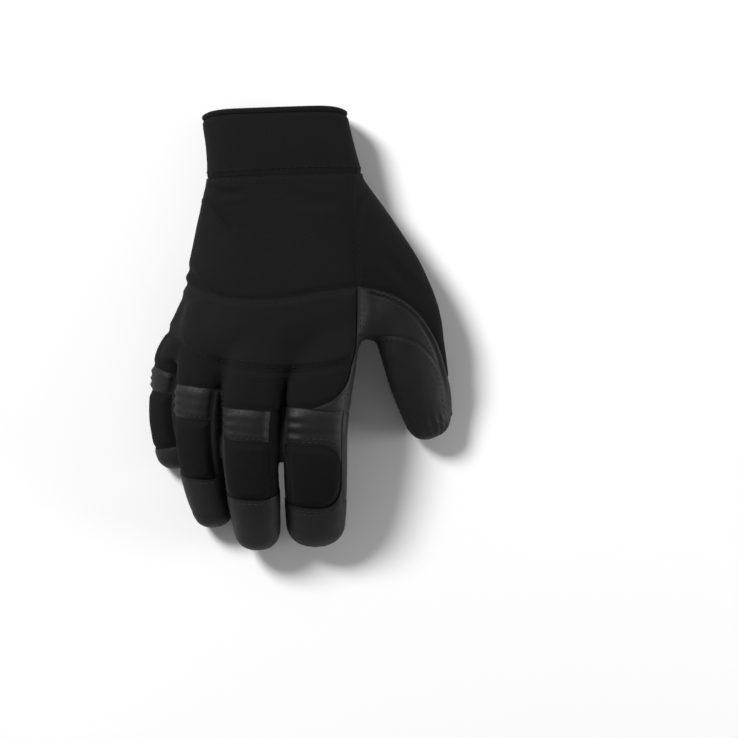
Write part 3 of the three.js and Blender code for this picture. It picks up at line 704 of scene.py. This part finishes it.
# Brushed suede cloth over foam: a short nap, a little lighter than the jersey
suedeCloth = makeFinish("black_suede_cloth", {
    "dark": "#121212", "light": "#181818", "mottle": 8, "rough": 0.9, "specular": 0.08, "sheen": 0.02,
    "pattern": "nap", "pitch": 0.7, "relief": 0.12,
})
# Elastic knit: cords run round the wrist's length, seen as fine ribs
elasticKnit = makeFinish("black_elastic_knit", {
    "dark": "#111111", "light": "#171717", "mottle": 8, "rough": 0.9, "specular": 0.08, "sheen": 0.015,
    "pattern": "ribs", "pitch": 1.7, "relief": 0.1,
})
# Brushed loop pile for the hook side of the strap
loopPile = makeFinish("black_loop_pile", {
    "dark": "#0e0e0e", "light": "#161616", "mottle": 3, "rough": 0.98, "specular": 0.05, "sheen": 0.04,
    "pattern": "nap", "pitch": 0.5, "relief": 0.4,
})
# Pressed synthetic leather of the strap, smoother than the palm
strapLeather = makeFinish("black_pressed_leather", {
    "dark": "#1c1c1d", "light": "#252526", "mottle": 10, "rough": 0.44, "specular": 0.4,
    "pattern": "grain", "pitch": 0.7, "relief": 0.04,
})
# Bonded nylon thread: darker on cloth, a touch lighter on leather
clothThread = makeFinish("black_nylon_thread", {
    "dark": "#101011", "light": "#161617", "mottle": 3, "rough": 0.7, "specular": 0.14,
    "pattern": "nap", "pitch": 0.3, "relief": 0.03,
})
leatherThread = makeFinish("charcoal_nylon_thread", {
    "dark": "#1f1f20", "light": "#282829", "mottle": 3, "rough": 0.6, "specular": 0.2,
    "pattern": "nap", "pitch": 0.3, "relief": 0.03,
})

# How each kind of panel stands on the skin: its edge where it is sewn, its middle, how far in
# it rises, its thickness, and the height and size of its slight creases
builds = {
    "palm": {"edge": 0.2, "middle": 0.05, "reach": 2.2, "thick": 1.3, "crease": 0.16, "size": 11},
    "leather": {"edge": 0.15, "middle": 0.45, "reach": 1.3, "thick": 1.4, "crease": 0.14, "size": 9},
    "patch": {"edge": -0.3, "middle": 0.35, "reach": 2.4, "thick": 1.4, "crease": 0.08, "size": 6},
    "strip": {"edge": -0.05, "middle": 0.35, "reach": 1.4, "thick": 1.4, "crease": 0.08, "size": 8},
    "cloth": {"edge": -0.55, "middle": 0.15, "reach": 3.4, "thick": 1.3, "crease": 0.3, "size": 17},
    "side": {"edge": -0.45, "middle": 0.0, "reach": 2.2, "thick": 1.2, "crease": 0.2, "size": 8},
    "padded": {"edge": -0.45, "middle": 1.05, "reach": 4.2, "thick": 2.0, "crease": 0.22, "size": 14},
    "pad": {"edge": -0.5, "middle": 0.95, "reach": 4.6, "thick": 1.8, "crease": 0.12, "size": 9},
}

# Folds pressed into the cloth, as lines seen from above
folds = [
    {"line": [(-48, 67), (-39, 57), (-31, 47)], "depth": 1.5, "wide": 1.7},
    {"line": [(-45, 70), (-37, 66), (-27, 66)], "depth": 0.9, "wide": 2.2},
    {"line": [(-57, 31), (-50, 22), (-44, 17)], "depth": 1.2, "wide": 2.0},
    {"line": [(34, 66), (30, 58), (29, 46)], "depth": 0.8, "wide": 2.2},
    {"line": [(44, 34), (52, 24), (58, 16)], "depth": 0.8, "wide": 3.0},
    {"line": [(-6, 66), (8, 61), (20, 62)], "depth": 0.5, "wide": 3.6},
]


# A panel's rows of data, its points, normals and faces, and the edges on its border
def localMesh(faces):
    used, inverse = np.unique(faces, return_inverse=True)
    rows = data[used]
    normal = rows[:, 3:6] / np.linalg.norm(rows[:, 3:6], axis=1)[:, None]
    local = inverse.reshape(-1, 3)
    edges = np.concatenate([local[:, [0, 1]], local[:, [1, 2]], local[:, [2, 0]]])
    key = np.sort(edges, axis=1) @ np.array([len(used), 1])
    _, index, count = np.unique(key, return_index=True, return_counts=True)
    return rows, rows[:, :3], normal, local, edges[index[count == 1]]


# From every point to the nearest place on the edges
def distanceTo(points, edges):
    ends = [points[edges[:, 0]] * (1 - t) + points[edges[:, 1]] * t for t in (0.0, 0.34, 0.67)]
    border = np.concatenate(ends)
    tree = KDTree(len(border))
    for i, p in enumerate(border):
        tree.insert(p, i)
    tree.balance()
    return np.array([tree.find(p)[2] for p in points])


# Slight unevenness of this size, from -1 to 1
def creases(points, size, seed):
    shift = Vector((seed * 7.3, seed * 3.1, seed * 5.7))
    return np.array([noise.noise(Vector(p) / size + shift) for p in points])


# A fold is a groove with a lower ridge on each side, and fades towards its ends
foldForm = {"fade": 0.7, "ridge": 0.55, "ridgeOut": 1.5, "ridgeSharp": 1.6}


def foldDepth(points):
    total = np.zeros(len(points))
    for fold in folds:
        line = curveThrough(fold["line"], 40)
        gap = np.sqrt(((points[:, None, :2] - line[None]) ** 2).sum(axis=2))
        near = gap.argmin(axis=1)
        away = gap.min(axis=1) / fold["wide"]
        fade = np.sin(math.pi * (near + 0.5) / len(line)) ** foldForm["fade"]
        beside = np.exp(-((away - foldForm["ridgeOut"]) ** 2) * foldForm["ridgeSharp"])
        total += fold["depth"] * fade * (foldForm["ridge"] * beside - np.exp(-away**2))
    return total


def column(rows, name):
    return rows[:, columnOf[name]]


# Three rolls across the little-finger side of a finger's joint, fading to plain leather. The
# other edge lies flat, but for the index, whose leather runs on.
jointRoll = {
    "count": 3, "height": 0.85, "start": 0.35, "plain": 0.12, "sideFrom": -2.5, "sideOver": 6,
    "flat": 0.35, "flatFrom": -4, "flatOver": 3,
}


def jointRibs(rows, name):
    limb = limbs[name]
    start, end = (markAt(limb, fingerPanels[name][key]) for key in ("ribs", "pad"))
    mark = column(rows, "mark") - start
    arc = column(rows, "arc")
    pitch = (end - start) / (jointRoll["count"] + 0.5)
    rolled = np.clip(mark - pitch * jointRoll["start"], 0, jointRoll["count"] * pitch)
    wave = np.sin(math.pi * rolled / pitch) ** 2
    ofSide = smooth((jointRoll["sideFrom"] - arc) / jointRoll["sideOver"])
    rolls = jointRoll["height"] * wave * (jointRoll["plain"] + (1 - jointRoll["plain"]) * ofSide)
    if name == "index":
        return rolls
    edge = smooth((column(rows, "back_" + name) - jointRoll["flatFrom"]) / jointRoll["flatOver"])
    return rolls - jointRoll["flat"] * edge * (arc > 0)


# A piped edge beside the web's seam, with a groove below it. Each has its height, its distance
# from the seam and its width, and both start at this x.
bead = {"ridge": (0.75, 1.1, 0.75), "groove": (0.35, 2.6, 0.6), "from": 30, "over": 6}


def saddleBead(rows):
    off = -column(rows, "saddle")
    ridge, groove = (
        height * np.exp(-((off - place) / wide) ** 2)
        for height, place, wide in (bead["ridge"], bead["groove"])
    )
    return smooth((rows[:, 0] - bead["from"]) / bead["over"]) * (ridge - groove)


# Leather gathered where it turns under the end of the thumb, the last of the limbs
gathers = {"height": 0.32, "reach": 20, "over": 14, "perArc": 1.9}


def tipGathers(rows):
    onThumb = column(rows, "own") > len(fingerNames) - 0.5
    past = column(rows, "mark") - limbs["thumb"]["length"] + gathers["reach"]
    near = smooth(past / gathers["over"]) * onThumb
    return gathers["height"] * near * np.sin(column(rows, "arc") * gathers["perArc"]) ** 3


# How far in from its seam a panel's creases and its own shape start, and its finer creases
sewing = {"creasesIn": 3, "shapeIn": 0.8, "fineHeight": 0.35, "fineSize": 3.1}


def sewPanel(name, build, material, shape=None):
    rows, base, normal, local, border = localMesh(panels[name])
    off = distanceTo(base, border)
    look = builds[build]
    rise = look["edge"] + (look["middle"] - look["edge"]) * smooth(off / look["reach"])
    inner = smooth(off / sewing["creasesIn"])
    seed = sum(map(ord, name)) % 17
    rise = rise + inner * look["crease"] * creases(base, look["size"], seed)
    fine = creases(base, look["size"] / sewing["fineSize"], seed + 5)
    rise = rise + inner * sewing["fineHeight"] * look["crease"] * fine
    if build == "cloth":
        rise = rise + inner * foldDepth(base)
    if shape is not None:
        rise = rise + shape(rows) * smooth(off / sewing["shapeIn"])
    outer = base + normal * rise[:, None]
    outer[:, 2] = np.maximum(outer[:, 2], 0)
    lining = base - normal * look["thick"]
    count = len(base)
    a, b = border[:, 0], border[:, 1]
    rim = [np.stack([b, a, a + count], axis=1), np.stack([b, a + count, b + count], axis=1)]
    faces = np.concatenate([local, local[:, ::-1] + count, *rim])
    onFinger = any(part in name for part in ("flex", "pad_", "tip", "side_strip"))
    cloth = np.column_stack([column(rows, "arc"), column(rows, "mark")]) if onFinger else base[:, :2]
    verts = np.concatenate([outer, lining])
    piece = makeObject(name + "_sewn", verts, faces, material, np.tile(cloth, (2, 1)))
    keep(piece, name)
    sewn[name] = {"rows": rows, "outer": outer, "normal": normal, "faces": local}


sewn = {}


# A finished piece goes with the glove, and stands for its plain solid
def keep(piece, node=None):
    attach(piece, "root")
    if node:
        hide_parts(node)


# Stitches: short raised dashes along the seams. This finds the lines on a panel where the
# values are zero, with the normals along each.
def contour(values, faces, points, normals):
    links = {}
    place = {}
    side = values[faces] > 0
    for tri in faces[side.any(axis=1) & ~side.all(axis=1)].tolist():
        ends = []
        for a, b in ((tri[0], tri[1]), (tri[1], tri[2]), (tri[2], tri[0])):
            if (values[a] > 0) != (values[b] > 0):
                key = (a, b) if a < b else (b, a)
                if key not in place:
                    t = values[key[0]] / (values[key[0]] - values[key[1]])
                    place[key] = (points[key[0]] * (1 - t) + points[key[1]] * t, normals[key[0]])
                ends.append(key)
        if len(ends) == 2:
            links.setdefault(ends[0], []).append(ends[1])
            links.setdefault(ends[1], []).append(ends[0])
    lines = []
    unused = set(links)
    starts = [k for k in links if len(links[k]) == 1] + list(links)
    for start in starts:
        if start not in unused:
            continue
        line = [start]
        unused.discard(start)
        while True:
            onward = [k for k in links[line[-1]] if k in unused]
            if not onward:
                break
            line.append(onward[0])
            unused.discard(onward[0])
        if len(line) > 4:
            lines.append(tuple(np.array([place[k][part] for k in line]) for part in (0, 1)))
    return lines


# Sizes of a stitch, but high is a share of its width
thread = {
    "long": 2.3, "wide": 0.46, "high": 0.8, "sink": 0.08, "sides": 6,
    "start": 0.5, "pitch": 3.0,  # where a row starts, and from stitch to stitch
    "upAt": 1,  # how far along it the way up is read
}
stitchShape = [
    # share of its length, share of its width, lift
    (0.0, 0.35, -0.16),
    (0.18, 0.9, 0.1),
    (0.5, 1.0, 0.2),
    (0.82, 0.9, 0.1),
    (1.0, 0.35, -0.16),
]
stitchVerts, stitchFaces = [], []


# One stitch, pulled down at both ends
def dash(start, end, normal):
    run = end - start
    side = np.cross(run, normal)
    side /= max(np.linalg.norm(side), 1e-9)
    sides = thread["sides"]
    first = len(stitchVerts)
    for t, size, lift in stitchShape:
        middle = start + run * t + normal * (lift - thread["sink"])
        for angle in np.linspace(0, fullTurn, sides + 1)[:-1]:
            out = side * math.cos(angle) + normal * math.sin(angle) * thread["high"]
            stitchVerts.append(middle + out * thread["wide"] / 2 * size)
    around = gridFaces(len(stitchShape), sides, wrap=True, flip=True)
    last = first + (len(stitchShape) - 1) * sides
    stitchFaces.extend([i + first for i in quad] for quad in around)
    stitchFaces.append([first + k for k in range(sides)])
    stitchFaces.append([last + k for k in reversed(range(sides))])


def pointAlong(rows, along, mark):
    return np.array([np.interp(mark, along, rows[:, axis]) for axis in range(3)])


def stitchLine(line, normals):
    along = np.concatenate([[0], np.cumsum(np.linalg.norm(np.diff(line, axis=0), axis=1))])
    count = int((along[-1] - thread["long"]) // thread["pitch"])
    for k in range(max(count, 0)):
        mark = k * thread["pitch"] + thread["start"]
        start, end = (pointAlong(line, along, m) for m in (mark, mark + thread["long"]))
        up = pointAlong(normals, along, mark + thread["upAt"])
        dash(start, end, up / np.linalg.norm(up))


def stitchRow(name, field, level):
    part = sewn[name]
    values = column(part["rows"], field) - level
    for line, normals in contour(values, part["faces"], part["outer"], part["normal"]):
        stitchLine(line, normals)


def gatherStitches(name, slot):
    yarn = leatherThread if slot == "leather" else clothThread
    piece = makeObject(name, np.array(stitchVerts), stitchFaces, yarn)
    print("glove:", name, len(stitchVerts) // (len(stitchShape) * thread["sides"]), "stitches")
    stitchVerts.clear()
    stitchFaces.clear()
    keep(piece)


print("glove: sewing the panels")
sewPanel("palm_leather", "palm", leather, tipGathers)
sewPanel("back_panel", "cloth", stretchCloth)
sewPanel("knuckle_band", "padded", suedeCloth)
sewPanel("finger_base_panel", "cloth", stretchCloth)
sewPanel("thumb_side_panel", "cloth", stretchCloth)
sewPanel("thumb_saddle", "leather", leather, saddleBead)
sewPanel("thumb_back", "leather", leather, tipGathers)
for name in fingerNames:
    sewPanel(f"flex_ribs_{name}", "patch", leather, lambda rows: jointRibs(rows, name))
    sewPanel(f"finger_pad_{name}", "pad", stretchCloth)
    sewPanel(f"tip_wrap_{name}", "leather", leather)
    # Most strips in the gaps between the fingers take the jersey painted lighter as fill light
    if name == "index":
        sewPanel("side_strip_index_thumb_side", "strip", leather)
    else:
        sewPanel(f"side_strip_{name}_thumb_side", "side", stretchCloth if name == "middle" else paintedFillJersey)
    sewPanel(f"side_strip_{name}_little_side", "side", stretchCloth if name == "little" else paintedFillJersey)

# Each row of stitches has its panel, its seam and how far from the seam it runs
print("glove: stitching")
stitchRow("knuckle_band", "bandTop", -1.8)
stitchRow("knuckle_band", "bandFoot", 1.8)
stitchRow("thumb_side_panel", "thumbRegion", -1.8)
stitchRow("thumb_side_panel", "wrist", -1.8)
stitchRow("back_panel", "wrist", -1.8)
gatherStitches("hand_stitching", "stretch_cloth")
stitchRow("thumb_saddle", "saddle", -3.9)
for level in (-1.3, -2.9):
    stitchRow("thumb_saddle", "thumbRegion", level)
stitchRow("thumb_back", "thumbBack", -1.6)
gatherStitches("thumb_stitching", "leather")
for name in fingerNames:
    rowsOut = (1.5, 3.1) if name == "index" else (1.5,)
    for level in rowsOut:
        stitchRow(f"flex_ribs_{name}", "pad_" + name, level)
        stitchRow(f"tip_wrap_{name}", "pad_" + name, level)
    stitchRow(f"flex_ribs_{name}", "ribs", 1.3)
gatherStitches("finger_stitching", "leather")
stitchRow("palm_leather", "palm", 1.7)
gatherStitches("palm_stitching", "leather")


# The cuff, its bound rim, the loop pile and the strap. Foot, top and the cuff's rim are places
# along the arm, left, right, root and nose are places across it, and from and face are heights
# off the skin.
cuff = {
    "foot": 75.3, "rim": 107.8, "wall": 2.2, "columns": 260, "rows": 46,
    "edge": -0.55, "rise": 0.75, "over": 3.0,  # the knit is pulled in at both ends
    "pucker": 0.14, "puckers": 31, "puckerOver": 9,  # and puckered along the seam
    "slack": 0.45, "slackSize": 13, "seed": 4,
    "radius": 37,  # turns an angle round the cuff to millimetres
    "stitches": [(78.2, 0.25), (104.9, 0.0)],  # place along the arm, height
    "stitchStart": -1.55, "middle": (-10, 0, 18.6),
}
cuffAngles = np.linspace(math.pi, math.pi + fullTurn, cuff["columns"] + 1)[:-1]


# A closed piece from an outer and an inner grid of points
def closedSheet(name, outer, inner, material, uv=None, wrap=False):
    rows, columns = outer.shape[:2]
    count = rows * columns
    verts = np.concatenate([outer.reshape(-1, 3), inner.reshape(-1, 3)])
    faces = gridFaces(rows, columns, wrap) + gridFaces(rows, columns, wrap, count, True)
    reach = columns if wrap else columns - 1
    for j in range(reach):
        k = (j + 1) % columns
        last = (rows - 1) * columns
        faces.append((j, count + j, count + k, k))
        faces.append((last + k, count + last + k, count + last + j, last + j))
    if not wrap:
        for i in range(rows - 1):
            a, b = i * columns, (i + 1) * columns
            faces.append((b, count + b, count + a, a))
            a, b = a + columns - 1, b + columns - 1
            faces.append((a, count + a, count + b, b))
    cloth = None if uv is None else np.tile(uv.reshape(-1, 2), (2, 1))
    return turnOutward(makeObject(name, verts, faces, material, cloth))


def turnOutward(piece):
    volume = 0.0
    mesh = piece.data
    mesh.calc_loop_triangles()
    for tri in mesh.loop_triangles:
        a, b, c = (mesh.vertices[i].co for i in tri.vertices)
        volume += a.dot(b.cross(c))
    if volume < 0:
        mesh.flip_normals()
    return piece


def ringPoints(ys, angles, grow):
    y, angle = np.meshgrid(ys, angles, indexing="ij")
    return handPoint(y.ravel(), angle.ravel(), np.broadcast_to(grow, y.shape).ravel()).reshape(*y.shape, 3)


def buildCuff():
    ys = np.linspace(cuff["foot"], cuff["rim"], cuff["rows"])
    full = smooth(np.minimum(ys - ys[0], ys[-1] - ys) / cuff["over"])
    nearSeam = 1 - smooth((ys - ys[0]) / cuff["puckerOver"])
    pucker = cuff["pucker"] * np.sin(cuffAngles * cuff["puckers"])[None, :] * nearSeam[:, None]
    plain = ringPoints(ys, cuffAngles, 0.0)
    slack = creases(plain.reshape(-1, 3), cuff["slackSize"], cuff["seed"]).reshape(plain.shape[:2])
    grow = (cuff["edge"] + cuff["rise"] * full)[:, None] + pucker
    grow = grow + slack * cuff["slack"] * full[:, None]
    outer = ringPoints(ys, cuffAngles, grow)
    uv = np.stack(np.meshgrid(ys, cuffAngles * cuff["radius"], indexing="ij")[::-1], axis=-1)
    inner = ringPoints(ys, cuffAngles, -cuff["wall"])
    keep(closedSheet("cuff_band_knit", outer, inner, elasticKnit, uv, wrap=True), "cuff_band")


# Grow is how far the tape's middle stands off the skin, and square its section's exponent
binding = {
    "middle": 108.25, "half": 1.5, "grow": -1.1, "thick": 1.5, "square": 2.6, "sides": 14,
    "radius": 2,  # turns an angle round its section to millimetres
}


def buildBinding():
    turns = np.linspace(0, fullTurn, binding["sides"] + 1)[:-1]
    n = 2 / binding["square"]
    rings = []
    for across, out in zip(np.cos(turns), np.sin(turns)):
        y = binding["middle"] + binding["half"] * np.sign(across) * np.abs(across) ** n
        grow = binding["grow"] + binding["thick"] * np.sign(out) * np.abs(out) ** n
        rings.append(handPoint(np.full(len(cuffAngles), y), cuffAngles, grow))
    faces = gridFaces(len(turns), len(cuffAngles), wrap=True, closed=True)
    around = np.meshgrid(turns * binding["radius"], cuffAngles * cuff["radius"], indexing="ij")
    uv = np.stack(around[::-1], axis=-1).reshape(-1, 2)
    tape = makeObject("cuff_binding_tape", np.concatenate(rings), faces, elasticKnit, uv)
    keep(turnOutward(tape), "cuff_binding")


# The angle on the cuff's underside at which a point lies at x
def angleUnder(x, y):
    _, left, right, *_ = handAt(y)
    u = np.clip((x - (left + right) / 2) / ((right - left) / 2), -0.999, 0.999)
    return math.pi - np.arcsin(np.sign(u) * np.abs(u) ** (skin["squareness"] / 2))


def underLayer(x, y, grow):
    return handPoint(y, angleUnder(x, y), grow)


loopPatch = {
    "left": -34, "right": 12, "foot": 77, "top": 105.8, "columns": 90, "rows": 56,
    "from": 0.4, "face": 1.3, "edge": 0.35, "over": 1.5,
    "pile": 0.22, "tuft": 1.1, "seed": 9,  # height and size of its tufts
}


def buildLoopPatch():
    xs = np.linspace(loopPatch["left"], loopPatch["right"], loopPatch["columns"])
    ys = np.linspace(loopPatch["foot"], loopPatch["top"], loopPatch["rows"])
    y, x = np.meshgrid(ys, xs, indexing="ij")
    off = np.minimum.reduce([x - xs[0], xs[-1] - x, y - ys[0], ys[-1] - y])
    flat = np.stack([x, y, 0 * x], axis=-1).reshape(-1, 3)
    pile = creases(flat, loopPatch["tuft"], loopPatch["seed"]).reshape(x.shape) * loopPatch["pile"]
    edge = loopPatch["edge"]
    grow = loopPatch["face"] - edge + (edge + pile) * smooth(off / loopPatch["over"])
    outer = underLayer(x.ravel(), y.ravel(), grow.ravel()).reshape(*x.shape, 3)
    inner = underLayer(x.ravel(), y.ravel(), np.full(x.size, loopPatch["from"])).reshape(*x.shape, 3)
    uv = np.stack([x, y], axis=-1)
    keep(closedSheet("loop_patch_pile", outer, inner, loopPile, uv), "loop_patch")


strap = {
    "root": -42, "nose": 4.0, "foot": 77.4, "top": 105.6, "from": 1.6, "face": 3.8,
    "edge": 0.55, "over": 0.9,  # its edge drops by this, over this distance
    "rim": 0.8, "rimIn": 0.7, "rimOut": 3.2,  # the raised border
    "stitches": (1.6, 3.3), "stitchSink": 0.05,
    "across": 70, "along": 60, "round": 40,  # points of its grid
    "crowding": 1.4,  # draws the rows together at the root
    "noseStop": 0.06,  # how short of the nose the last row stops, as an angle
}
strapMiddle = (strap["foot"] + strap["top"]) / 2
strapHalf = (strap["top"] - strap["foot"]) / 2
strapCentre = strap["nose"] - strapHalf


# Height of the strap's face by its distance from the edge, with the raised border
def strapGrow(off):
    edge = strap["edge"] * (1 - smooth(off / strap["over"]))
    inside = smooth((off - strap["rimIn"]) / strap["over"])
    beyond = smooth((off - strap["rimOut"]) / strap["over"])
    return strap["face"] - edge + strap["rim"] * (inside * (1 - beyond))


# Half the strap's width at x
def strapRow(x):
    beyond = max(0.0, x - strapCentre)
    return math.sqrt(max(0.0, strapHalf**2 - beyond**2))


def buildStrap():
    count = strap["across"]
    crowded = np.sin(np.linspace(-math.pi / 2, math.pi / 2, count))
    across = 0.5 * crowded + 0.5 * np.linspace(-1, 1, count)
    run = np.linspace(0, 1, strap["along"]) ** strap["crowding"]
    straight = strap["root"] + (strapCentre - strap["root"]) * run
    turns = np.linspace(0, math.pi / 2 - strap["noseStop"], strap["round"])[1:]
    nose = strapCentre + strapHalf * np.sin(turns)
    outer, inner = [], []
    for x in np.concatenate([straight, nose]):
        y = strapMiddle + strapRow(x) * across
        off = strapHalf - np.hypot(y - strapMiddle, max(0.0, x - strapCentre))
        off = np.minimum(off, x - strap["root"])
        outer.append(underLayer(np.full(count, x), y, strapGrow(off)))
        inner.append(underLayer(np.full(count, x), y, np.full(count, strap["from"])))
    keep(closedSheet("strap_tab_leather", np.array(outer), np.array(inner), strapLeather), "strap_tab")


def strapStitches(inset):
    radius = strapHalf - inset
    turns = np.linspace(-math.pi / 2, math.pi / 2, strap["along"])[1:-1]
    straight = np.linspace(strap["root"] + inset, strapCentre, strap["along"])
    side = np.full(strap["along"], radius)
    x = np.concatenate([straight, strapCentre + radius * np.cos(turns), straight[::-1]])
    y = strapMiddle + np.concatenate([-side, radius * np.sin(turns), side])
    grow = float(strapGrow(np.array(inset))) - strap["stitchSink"]
    line = underLayer(x, y, np.full(len(x), grow))
    outward = line - underLayer(x, y, np.zeros(len(x)))
    stitchLine(line, outward / np.linalg.norm(outward, axis=1)[:, None])


def cuffStitches(y, grow):
    start, count = cuff["stitchStart"], 400
    angles = np.linspace(start, fullTurn + start, count)
    line = handPoint(np.full(count, y), angles, np.full(count, grow))
    out = line - np.array(cuff["middle"])
    out[:, 1] = 0
    stitchLine(line, out / np.linalg.norm(out, axis=1)[:, None])


buildCuff()
buildBinding()
buildLoopPatch()
buildStrap()
for inset in strap["stitches"]:
    strapStitches(inset)
gatherStitches("strap_stitching", "moulded_trim")
for y, grow in cuff["stitches"]:
    cuffStitches(y, grow)
gatherStitches("cuff_stitching", "elastic_knit")


# Floor, light and camera
# The camera looks straight down, and its frame is this wide at the height named focus
view = {"x": 34.75, "y": -21.25, "width": 369, "height": 1500, "focus": 20}
reach, below = 4000, -0.3
corners = [(-reach, -reach), (reach, -reach), (reach, reach), (-reach, reach)]
floor = makeObject("floor", [(x, y, below) for x, y in corners], [(0, 1, 2, 3)])
paper = bpy.data.materials.new("white_paper")
paper.use_nodes = True
paperShader = paper.node_tree.nodes["Principled BSDF"]
paperShader.inputs["Base Color"].default_value = linear("#f2f2f2")
paperShader.inputs["Roughness"].default_value = 0.9
paperShader.inputs["Specular IOR Level"].default_value = 0.1
floor.data.materials.append(paper)

sky = {"horizon": 0.5, "zenith": 0.13}  # strength of the white room, darker overhead
world = bpy.data.worlds.new("studio")
world.use_nodes = True
studio = world.node_tree
heading = addNode(studio, "ShaderNodeTexCoord")
upward = addNode(studio, "ShaderNodeSeparateXYZ", n0=heading.outputs["Generated"])
glow = addNode(
    studio, "ShaderNodeMapRange",
    n0=upward.outputs["Z"], n1=0.0, n2=1.0, n3=sky["horizon"], n4=sky["zenith"],
)
studio.links.new(glow.outputs[0], studio.nodes["Background"].inputs["Strength"])
studio.nodes["Background"].inputs["Color"].default_value = (1, 1, 1, 1)
bpy.context.scene.world = world

lights = [
    # name, place in metres, size, watts
    ("key", (-1.5, 1.5, 1.85), 0.8, 101.0),
    ("rim", (1.3, -0.1, 0.3), 0.6, 9.0),
]
for name, place, size, watts in lights:
    lamp = bpy.data.lights.new(name, "AREA")
    lamp.shape = "DISK"
    lamp.size = size
    lamp.energy = watts
    holder = bpy.data.objects.new(name, lamp)
    holder.location = place
    holder.rotation_euler = (Vector((0, 0, 0)) - Vector(place)).to_track_quat("-Z", "Y").to_euler()
    bpy.context.scene.collection.objects.link(holder)

camera = bpy.data.cameras.new("camera")
camera.sensor_width = 36
camera.lens = camera.sensor_width * (view["height"] - view["focus"]) / view["width"]
camera.clip_end = 20
cameraHolder = bpy.data.objects.new("camera", camera)
cameraHolder.location = (view["x"] * metre, view["y"] * metre, view["height"] * metre)
bpy.context.scene.collection.objects.link(cameraHolder)
bpy.context.scene.camera = cameraHolder
bpy.context.scene.view_settings.view_transform = "Standard"
